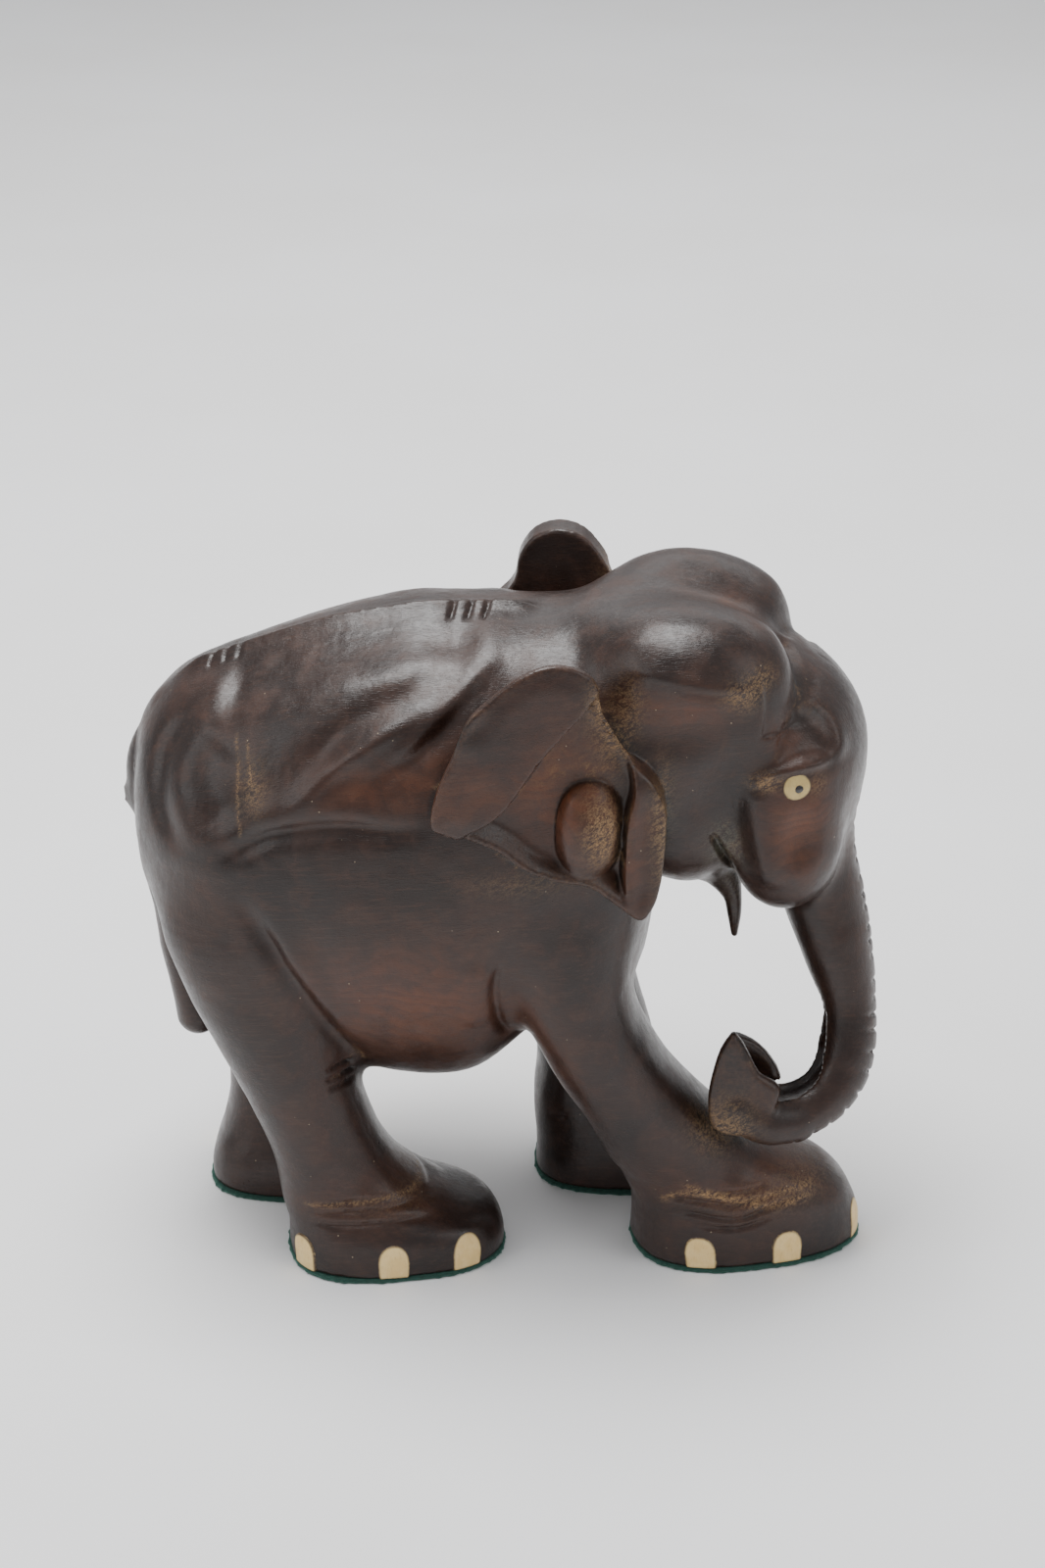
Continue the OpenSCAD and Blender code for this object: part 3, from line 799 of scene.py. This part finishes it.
# ---- materials
class Shader:
    """A material's node tree, with short names for the nodes that are used again and again."""

    def __init__(self, name, **sockets):
        self.material = bpy.data.materials.new(name)
        self.material.use_nodes = True
        self.tree = self.material.node_tree
        self.bsdf = self.tree.nodes["Principled BSDF"]
        for key, value in sockets.items():
            self.bsdf.inputs[key.replace("_", " ")].default_value = value
        self.mm = self.vector("SCALE", self.add("TexCoord", {}, "Object"), scale=1000)

    def add(self, kind, inputs, out=0, **settings):
        node = self.tree.nodes.new("ShaderNode" + kind)
        for key, value in settings.items():
            setattr(node, key, value)
        for key, value in inputs.items():
            self.put(node.inputs[key], value)
        return node.outputs[out]

    def put(self, socket, value):
        if isinstance(value, bpy.types.NodeSocket):
            self.tree.links.new(value, socket)
        else:
            socket.default_value = value

    def vector(self, operation, a, b=None, scale=None):
        inputs = {0: a}
        if b is not None:
            inputs[1] = b
        if scale is not None:
            inputs["Scale"] = scale
        return self.add("VectorMath", inputs, operation=operation)

    def math(self, operation, a, b):
        return self.add("Math", {0: a, 1: b}, operation=operation, use_clamp=True)

    def times(self, a, b):
        return self.math("MULTIPLY", a, b)

    def noise(self, size, detail=2.0, rough=0.5, stretch=(1, 1, 1), turn=(0, 0, 0), warp=0.0):
        """Noise whose features are `size` mm across, longer where `stretch` is above 1."""
        place = self.mm
        if turn != (0, 0, 0):
            place = self.add("Mapping", {"Vector": place, "Rotation": [math.radians(a) for a in turn]})
        if stretch != (1, 1, 1):
            place = self.vector("DIVIDE", place, stretch)
        inputs = {"Vector": place, "Scale": 1 / size, "Detail": detail, "Roughness": rough, "Distortion": warp}
        return self.add("TexNoise", inputs)

    def remap(self, value, lo, hi, to_lo=0.0, to_hi=1.0):
        inputs = {"Value": value, "From Min": lo, "From Max": hi, "To Min": to_lo, "To Max": to_hi}
        return self.add("MapRange", inputs, interpolation_type="SMOOTHSTEP")

    def mark(self, name):
        return self.add("Attribute", {}, "Fac", attribute_name=name)

    def mix(self, factor, a, b):
        a, b = [(*c, 1) if isinstance(c, tuple) else c for c in (a, b)]
        return self.add("Mix", {0: factor, 6: a, 7: b}, 2, data_type="RGBA")

    def lay(self, mask, amount, colour):
        """Lays another colour over the one so far."""
        self.colour = self.mix(self.times(mask, amount), self.colour, colour)

    def bump(self, height, distance, strength, below=None):
        inputs = {"Height": height, "Distance": distance / 1000, "Strength": strength}
        if below is not None:
            inputs["Normal"] = below
        return self.add("Bump", inputs)

    def finish(self, roughness, normal):
        self.put(self.bsdf.inputs["Base Color"], self.colour)
        self.put(self.bsdf.inputs["Roughness"], roughness)
        self.put(self.bsdf.inputs["Normal"], normal)
        return self.material


def wood_material():
    s = Shader("waxed_hardwood", IOR=1.42, Coat_Weight=0.1, Coat_Roughness=0.2)
    # growth rings round an axis along the body, with fibre streaks along the same axis
    shifted = s.vector("ADD", s.mm, (0, -46, -64))
    sway = s.add("TexNoise", {"Vector": s.mm, "Scale": 1 / 30, "Detail": 2.0}, "Color")
    warped = s.vector("ADD", shifted, s.vector("SCALE", sway, scale=22))
    squeezed = s.vector("MULTIPLY", warped, (0.32, 1, 1))
    rings = s.add(
        "TexWave",
        {"Vector": squeezed, "Scale": 0.11, "Distortion": 1.2, "Detail": 2.0, "Detail Scale": 0.6},
        "Fac", wave_type="RINGS", rings_direction="SPHERICAL", wave_profile="SAW",
    )
    streak = s.noise(0.9, 3, 0.6, stretch=(14, 1, 1), turn=(0, 6, 4))
    fleck = s.noise(0.32, 2, 0.55, stretch=(7, 1, 1), turn=(0, 6, 4))
    cloud = s.noise(26, 3, 0.55)
    mottle = s.noise(6.5, 3, 0.6, warp=0.6)
    fine = s.noise(1.3, 4, 0.65)
    grit = s.noise(0.45, 3, 0.7)
    red, dust, grime = s.mark("red"), s.mark("dust"), s.mark("grime")
    hollow_shade_and_dust, edge = s.mark("hollow_shade_and_dust"), s.mark("edge")

    s.colour = s.mix(s.remap(cloud, 0.35, 0.68), (0.0135, 0.0072, 0.0058), (0.031, 0.0145, 0.0102))
    s.lay(s.remap(mottle, 0.45, 0.75), 0.3, (0.070, 0.030, 0.018))
    reddish = s.times(red, s.remap(mottle, 0.25, 0.62, 0.5, 1.0))
    s.lay(reddish, 1.0, (0.135, 0.042, 0.016))
    s.lay(s.remap(rings, 0.1, 0.95), 0.25, (0.016, 0.009, 0.0075))
    s.lay(s.remap(streak, 0.5, 0.72), 0.17, (0.098, 0.045, 0.026))
    s.lay(s.remap(fleck, 0.58, 0.72), 0.35, (0.011, 0.007, 0.006))
    # worn, lighter edges
    s.lay(s.times(edge, s.remap(fine, 0.35, 0.7)), 0.3, (0.120, 0.060, 0.034))
    # painted shade: darker in the deep lines and hollows, where little light reaches
    s.lay(s.remap(hollow_shade_and_dust, 0.30, 0.85), 0.75, (0.012, 0.0085, 0.0075))
    # pale dust where a cloth never reaches
    drag = s.noise(0.75, 4, 0.78, stretch=(2.6, 1.4, 1), turn=(0, 35, 0))
    patchy = s.times(s.remap(drag, 0.40, 0.56), s.remap(grit, 0.38, 0.58, 0.15, 1.0))
    # the same hollow mark also gathers the dust in the lines
    in_lines = s.times(s.remap(hollow_shade_and_dust, 0.2, 0.6), s.remap(mottle, 0.52, 0.72, 0.0, 0.45))
    settled = s.times(s.math("ADD", s.times(dust, 1.5), in_lines), patchy)
    s.lay(settled, 0.9, (0.37, 0.225, 0.105))
    s.lay(s.times(grime, patchy), 0.8, (0.17, 0.165, 0.115))
    # specks
    cell = s.add("TexVoronoi", {"Vector": s.mm, "Scale": 0.2, "Randomness": 1.0}, "Distance")
    speck = s.times(s.remap(cell, 0.030, 0.045, 1.0, 0.0), s.remap(cloud, 0.42, 0.55))
    s.lay(speck, 0.6, (0.42, 0.33, 0.22))

    dull = s.math("ADD", s.times(settled, 0.45), s.times(reddish, 0.10))
    rough = s.math("ADD", s.remap(mottle, 0.3, 0.75, 0.27, 0.40), s.remap(fine, 0.35, 0.7, 0.0, 0.07))
    rough = s.math("ADD", rough, dull)
    # tool marks, pores and scratches
    tool = s.noise(2.4, 2, 0.5, stretch=(1, 1, 2.2))
    scratch = s.noise(0.28, 2, 0.5, stretch=(1, 1, 22), turn=(0, 38, 12))
    normal = s.bump(tool, 0.16, 0.7)
    normal = s.bump(s.remap(fleck, 0.45, 0.75), 0.035, 0.8, normal)
    normal = s.bump(scratch, 0.022, 0.7, normal)
    normal = s.bump(s.times(settled, grit), 0.16, 0.8, normal)
    return s.finish(rough, normal)


def bone_material(name, pale, deep, stain, gloss):
    s = Shader(name, IOR=1.54, Subsurface_Weight=0.12, Subsurface_Scale=0.0015)
    s.bsdf.inputs["Subsurface Radius"].default_value = (1.0, 0.7, 0.4)
    cloud, grain = s.noise(3.2, 3, 0.6), s.noise(0.5, 3, 0.6, stretch=(1, 1, 5))
    s.colour = s.mix(s.remap(cloud, 0.3, 0.7), pale, deep)
    s.lay(s.remap(grain, 0.52, 0.74), 0.4, stain)
    s.lay(s.mark("rim"), s.remap(s.noise(1.1, 3, 0.6), 0.2, 0.55, 0.55, 1.0), (0.045, 0.022, 0.012))
    rough = s.remap(grain, 0.3, 0.7, gloss, gloss + 0.12)
    normal = s.bump(s.noise(0.6, 3, 0.6, stretch=(1, 1, 4)), 0.04, 0.6)
    return s.finish(rough, normal)


def black_material():
    s = Shader("black_horn", IOR=1.55, Coat_Weight=0.5, Coat_Roughness=0.08)
    cloud = s.noise(0.8, 3, 0.6)
    s.colour = s.mix(s.remap(cloud, 0.3, 0.7), (0.008, 0.007, 0.007), (0.022, 0.016, 0.014))
    return s.finish(s.remap(cloud, 0.3, 0.7, 0.15, 0.28), s.bump(s.noise(0.3, 2), 0.01, 0.5))


def felt_material():
    s = Shader("green_felt", IOR=1.45, Sheen_Weight=0.5, Sheen_Roughness=0.5)
    s.bsdf.inputs["Sheen Tint"].default_value = (0.35, 0.75, 0.6, 1)
    wool, clump = s.noise(0.35, 4, 0.7, warp=1.5), s.noise(2.2, 3, 0.6)
    s.colour = s.mix(s.remap(wool, 0.3, 0.7), (0.004, 0.022, 0.016), (0.016, 0.075, 0.055))
    s.lay(s.remap(clump, 0.5, 0.75), 0.4, (0.006, 0.017, 0.013))
    return s.finish(s.remap(wool, 0.3, 0.7, 0.82, 0.97), s.bump(wool, 0.30, 1.0))


def floor_material():
    s = Shader("pale_paper", IOR=1.45)
    cloud, fibre = s.noise(210, 3, 0.55), s.noise(4.0, 4, 0.6)
    s.colour = s.mix(s.remap(cloud, 0.35, 0.65), (0.90, 0.895, 0.89), (0.93, 0.93, 0.935))
    return s.finish(s.remap(fibre, 0.3, 0.7, 0.62, 0.74), s.bump(fibre, 0.05, 0.3))


WOOD = wood_material()
NAIL_BONE = bone_material("nail_bone", (0.85, 0.63, 0.29), (0.79, 0.55, 0.22), (0.58, 0.37, 0.15), 0.36)
EYE_BONE = bone_material("eye_bone", (0.60, 0.45, 0.18), (0.50, 0.36, 0.14), (0.34, 0.20, 0.07), 0.30)
BLACK = black_material()
FELT = felt_material()

# ---- the carving
CLAY_BOX = (-108, -58, -3), (108, 58, 196)
STEP = 0.8


def blob(p, centre, radii):
    """1 at the centre, fading out over the radii."""
    q = (p - np.array(centre, float)) / np.array(radii, float)
    return np.exp(-1.2 * (q**2).sum(1))


def painted(p, spots, strokes=()):
    """How strongly each point is covered by soft spots (both sides) and by lines drawn in the side view."""
    q = p * np.where(p[:, 1:2] > 0, (1, -1, 1), (1, 1, 1))
    out = np.zeros(len(p))
    for centre, radii, amount in spots:
        out += amount * blob(q, centre, radii)
    for path, width, amount in strokes:
        d, along = path_distance(q[:, 0], q[:, 2], spline(path, 3))
        ends = ramp(along, 0, 0.1) + ramp(1 - along, 0, 0.1) - 1
        out += amount * np.exp(-((d / width) ** 2)) * (q[:, 1] < -12) * ends
    return np.clip(out, 0, 1)


# spots: centre, radii, amount; lines: path in the side view, half width, amount
DUST = (
    [((29.5, -45, 170), (5, 9, 9), 1.0), ((30, -44, 160), (4, 9, 9), 0.45), ((28.5, -50, 137), (4.5, 8, 9), 1.3),
     ((24, -50, 150), (8, 6, 5), 0.3), ((43, -40, 138), (3.2, 7, 16), 0.55), ((62, -34, 170.5), (5, 8, 4), 0.5),
     ((67, -31, 174), (4, 7, 3), 0.35), ((69, -32, 145.5), (4, 6, 2.4), 0.7), ((61, -33, 44), (8, 8, 8), 0.55),
     ((-62, -38, 143), (4, 8, 7), 0.25), ((9, -47, 121), (16, 8, 4), 0.15), ((34, -38, 166), (3.5, 6, 8), 0.5),
     ((70, -22, 20), (18, 14, 5), 0.35), ((-30, -34, 19), (18, 14, 4), 0.12), ((82, -30, 144), (3, 5, 3), 0.3)],
    [([(-67, 155), (-66, 146), (-66, 138), (-65, 130)], 0.35, 0.3),
     ([(-64, 154), (-63, 148), (-62.5, 143)], 0.3, 0.3),
     ([(43, 19), (51, 23.5), (62, 21.5), (73.5, 18), (88, 18.5)], 0.9, 0.5),
     ([(48.5, 27), (59.5, 22.5), (68, 20.5), (79, 21), (87, 20)], 0.8, 0.5),
     ([(-54, 19.5), (-42, 20.5), (-29.5, 20.5), (-18.5, 19), (-11, 16.5)], 0.5, 0.35)],
)
RED = (
    [((18, -44, 148), (14, 10, 16), 1.0), ((36, -48, 128), (6, 8, 16), 0.7), ((77, -32, 158), (8, 9, 6), 0.95),
     ((78, -34, 132), (9, 12, 14), 0.9), ((-20, -46, 78), (26, 14, 26), 0.75), ((-8, -46, 150), (15, 12, 9), 0.6),
     ((-30, -44, 146), (14, 12, 7), 0.5), ((45, -34, 166), (14, 10, 6), 0.55), ((10, -40, 55), (14, 14, 26), 0.35),
     ((15, -52, 170), (12, 7, 12), 0.12), ((68, -22, 24), (24, 22, 9), 0.5), ((-32, -30, 20), (24, 20, 9), 0.3),
     ((90, -4, 120), (8, 12, 22), 0.3), ((60, 10, 185), (14, 14, 10), 0.3)],
)
# painted shade: soft spots that darken the ear's hollow beside the knob and the upper part of its face
SHADE = (
    [((18, -40, 148), (16, 4.5, 16), 0.7), ((33, -40, 140), (4, 5, 16), 0.5), ((8, -53, 168), (16, 6, 16), 0.3)],
)
GRIME = (
    [((59, -26, 124), (5, 7, 8), 0.8), ((62, -10, 104), (5, 9, 13), 0.45), ((44, -38, 132), (3, 7, 14), 0.4)],
)


def hand_cut(p):
    """The carving with the small unevenness of hand work."""
    return carving(p) + 0.24 * noise(p, 13, 1) + 0.09 * noise(p, 4.5, 2)


def make_carving():
    """The wood, marked with how hollow (darkened as painted shade), edged, dusty, red and grimy each point of it is.
    """
    verts, faces = sculpt(hand_cut, *CLAY_BOX, STEP)
    verts = settle(hand_cut, verts, 1)
    normal = slope(hand_cut, verts, 0.4)
    normal /= np.linalg.norm(normal, axis=1)[:, None] + 1e-9
    # how enclosed each point is: the wood is darkened there as painted shade, and dust gathers there
    hollow_shade_and_dust = np.zeros(len(verts))
    edge = np.zeros(len(verts))
    for reach, weight in ((1.2, 0.5), (3.5, 0.5)):
        out = spread_out(hand_cut, verts + reach * normal) / reach
        inside = -spread_out(hand_cut, verts - reach * normal) / reach
        hollow_shade_and_dust += weight * np.clip(1 - out, 0, 1)
        edge += weight * np.clip(1 - inside, 0, 1)
    marks = {
        # painted shade: the hollow mark, with extra darkness painted into the ear's hollow
        "hollow_shade_and_dust": np.clip(hollow_shade_and_dust * 1.6 + painted(verts, *SHADE), 0, 1),
        "edge": np.clip(edge * 1.8 - 0.15, 0, 1) * (verts[:, 2] > 6),
        "dust": painted(verts, *DUST),
        "red": painted(verts, *RED),
        "grime": painted(verts, *GRIME),
    }
    make_piece("wood_carving", verts, faces, WOOD, "wood", ["carved_body"], **marks)


make_carving()

# ---- bone toenails
NAIL_WIDTH, NAIL_HEIGHT, NAIL_PROUD = 8.8, 9.8, 0.35


def make_nail(node, turn):
    """A nail let into the foot at its node: flat below, arched above, all but flush. The outer ones lean."""
    spot = centre_of(node)
    spot[2] = 0
    probe = np.array([[spot[0], spot[1], 4.0]])
    out = slope(carving, probe)[0] * (1, 1, 0)
    out /= np.linalg.norm(out)
    spot = spot + out * 3
    across = np.array([-out[1], out[0], 0])
    middle, lean = 0.42 * NAIL_HEIGHT, 0.08 * turn

    def arch(p):
        u, v = (p - spot) @ across - lean * p[:, 2], p[:, 2] - middle
        half = NAIL_WIDTH / 2
        top = oval_distance(u, v, half, NAIL_HEIGHT - middle, 2.3)
        return np.where(v > 0, top, np.abs(u) - half - 0.04 * v)

    def field(p):
        skin = carving(p) - NAIL_PROUD
        d = smooth_max(arch(p) + 0.12 * noise(p, 2.5, 3), skin, 0.7)
        return np.maximum(np.maximum(d, 0.1 - p[:, 2]), -((p - spot) @ out) - 5.5)

    verts, faces = sculpt(field, spot + (-9, -9, -1.5), spot + (9, 9, 11), 0.3, (4, 2))
    verts = settle(field, verts, 2)
    rim = ramp(arch(verts), -0.75, -0.1) * (carving(verts) > -0.2)
    bite = 0.35 * ramp(0.9 - verts[:, 2], 0, 0.8)
    make_piece(node + "_bone", verts, faces, NAIL_BONE, "bone", [node], rim=np.clip(rim + bite, 0, 1))


for side in ("right", "left"):
    for end in ("front", "rear"):
        for number in (1, 2, 3):
            make_nail(f"{side}_{end}_toenail_{number}", number - 2)

# ---- eyes
EYE_RADIUS, EYE_PROUD, EYE_CROWN = 3.75, 0.42, 0.55
PUPIL_RADIUS, PUPIL_PROUD, PUPIL_CROWN = 1.15, 0.98, 0.28


def facing(node, side):
    """Where a line through a node, from outside, meets the carving, and which way it faces there."""
    spot = centre_of(node)
    spot[1] = side * 60.0
    for _ in range(60):
        spot[1] -= side * 0.6 * max(0.02, min(4.0, float(carving(spot[None])[0])))
    around = ((1.5, 0, 0), (-1.5, 0, 0), (0, 0, 1.5), (0, 0, -1.5))
    out = sum(slope(carving, spot[None] + np.array(d))[0] for d in around)
    return spot, out / np.linalg.norm(out)


def make_disc(name, node, centre, out, radius, crown, slot, material, wobble, depth=2.2):
    """A domed disc with a rounded edge, its rim slightly out of round."""
    up = np.array([0, 0, 1.0]) - out[2] * out
    up /= np.linalg.norm(up)
    across = np.cross(up, out)
    profile = [(t, crown * (1 - t**2)) for t in (0.2, 0.4, 0.6, 0.75, 0.86, 0.93)]
    profile += [(0.975, -0.06), (1.0, -0.25), (1.0, -depth)]
    turns = 48
    verts, rims = [], []
    for i in range(turns):
        a = 2 * math.pi * i / turns
        r = radius * (1 + wobble * (0.5 * math.sin(2 * a + 0.6) + 0.5 * math.sin(3 * a + 2)))
        for t, h in profile:
            verts.append(centre + (across * math.cos(a) + up * math.sin(a)) * r * t + out * h)
            rims.append(ramp(np.array([t]), 0.84, 0.97)[0])
    rows = len(profile)
    quads, tris = [], []
    for i in range(turns):
        j = (i + 1) % turns
        quads += [[i * rows + k, i * rows + k + 1, j * rows + k + 1, j * rows + k] for k in range(rows - 1)]
        tris.append([i * rows, j * rows, turns * rows])
        tris.append([j * rows + rows - 1, i * rows + rows - 1, turns * rows + 1])
    verts += [centre + out * crown, centre - out * depth]
    rims += [0.0, 1.0]
    tris += [t for q in quads for t in (q[:3], [q[0], q[2], q[3]])]
    make_piece(name, np.array(verts), tris, material, slot, [node], rim=np.array(rims))


for side, sign in (("right", -1), ("left", 1)):
    spot, out = facing(side + "_eye", sign)
    disc = spot + EYE_PROUD * out
    look = "eye_bone", EYE_BONE, 0.03
    make_disc(side + "_eye_disc", side + "_eye", disc, out, EYE_RADIUS, EYE_CROWN, *look)
    # the peg sits a little forward of the disc's middle and below it
    forward = np.cross(np.array([0, 0, 1.0]), out) * -sign
    peg = spot + PUPIL_PROUD * out + 0.45 * forward - np.array([0, 0, 0.5])
    look = "black", BLACK, 0.05, 1.2
    make_disc(side + "_pupil_peg", side + "_pupil", peg, out, PUPIL_RADIUS, PUPIL_CROWN, *look)

# ---- felt under the soles
FELT_THICKNESS = corner_lo[2] / SCALE
shake = np.random.RandomState(5)


def make_felt(name, rows):
    """A pad cut by hand round the sole, thin, flat, with an uneven woolly edge."""
    _, x, y, a, b, yaw, n = rows[0]
    turns = 180
    ragged = 0.35 * np.convolve(np.tile(shake.rand(turns), 3), np.ones(5) / 5, "same")[turns : 2 * turns]
    ragged += 0.45 * shake.rand(turns) ** 3
    w = math.radians(yaw)
    rings = []
    section = ((14, 0.0), (6, 0.0), (0.5, 0.0), (0, 0.35), (0.05, 0.8), (0.35, 1.0), (6, 1.0), (14, 1.0))
    for inset, height in section:
        t = np.arange(turns) * 2 * math.pi / turns
        reach = ragged - inset if 0 < height < 1 or inset < 1 else -inset
        u = (a + 0.15 + reach) * np.sign(np.cos(t)) * np.abs(np.cos(t)) ** (2 / n)
        v = (b + 0.15 + reach) * np.sign(np.sin(t)) * np.abs(np.sin(t)) ** (2 / n)
        z = np.full(turns, (height - 1) * FELT_THICKNESS)
        if 0 < height < 1:
            z += (shake.rand(turns) - 0.5) * 0.3
        across, along = u * math.cos(w) - v * math.sin(w), u * math.sin(w) + v * math.cos(w)
        rings.append(np.stack([x + across, y + along, z], 1))
    verts = np.vstack(rings + [[[x, y, -FELT_THICKNESS], [x, y, 0]]])
    count = len(rings)
    faces = []
    for k in range(count - 1):
        for i in range(turns):
            j = (i + 1) % turns
            p, q, r, s = k * turns + i, k * turns + j, (k + 1) * turns + j, (k + 1) * turns + i
            faces += [[p, q, r], [p, r, s]]
    for i in range(turns):
        j = (i + 1) % turns
        faces.append([j, i, count * turns])
        faces.append([(count - 1) * turns + i, (count - 1) * turns + j, count * turns + 1])
    piece = make_piece(name + "_pad", verts, faces, FELT, "felt", [name])


for name, rows in LEGS.items():
    make_felt(name + "_felt", rows)

# ---- floor, light and camera
bpy.ops.mesh.primitive_plane_add(size=8)
floor = bpy.context.object
floor.name = "floor"
floor.data.materials.append(floor_material())

world = bpy.data.worlds.new("studio")
bpy.context.scene.world = world
world.use_nodes = True
sky = world.node_tree.nodes["Background"].inputs
sky["Color"].default_value = (0.97, 0.98, 1.0, 1)
sky["Strength"].default_value = 0.55


def add_light(name, place, target, size, power):
    lamp = bpy.data.lights.new(name, "AREA")
    lamp.shape, lamp.size, lamp.size_y = "RECTANGLE", size[0], size[1]
    lamp.energy = power
    light = bpy.data.objects.new(name, lamp)
    bpy.context.collection.objects.link(light)
    light.location = place
    light.rotation_euler = (Vector(target) - Vector(place)).to_track_quat("-Z", "Y").to_euler()


add_light("overhead", (-0.15, 0.10, 1.05), (0, 0, 0.08), (0.6, 0.5), 14.0)
add_light("far_wash", (0.05, 0.95, 0.75), (0.05, 0.85, 0), (1.4, 0.6), 4.5)
add_light("left_fill", (-1.1, -0.55, 0.75), (0, 0, 0.08), (0.8, 0.8), 4.0)
add_light("right_fill", (1.2, -0.5, 0.9), (0, 0, 0.08), (0.8, 0.8), 4.0)

AZIMUTH, ELEVATION, DISTANCE = math.radians(3), math.radians(26.5), 0.87
AIM = Vector((0.005, 0, 0.1289))
LENS, SENSOR = 75, 36
camera = bpy.data.objects.new("camera", bpy.data.cameras.new("camera"))
bpy.context.collection.objects.link(camera)
camera.data.lens, camera.data.sensor_width, camera.data.clip_start = LENS, SENSOR, 0.01
away = Vector(
    (math.sin(AZIMUTH) * math.cos(ELEVATION), -math.cos(AZIMUTH) * math.cos(ELEVATION), math.sin(ELEVATION))
)
camera.location = AIM + away * DISTANCE
camera.rotation_euler = (-away).to_track_quat("-Z", "Y").to_euler()
bpy.context.scene.camera = camera
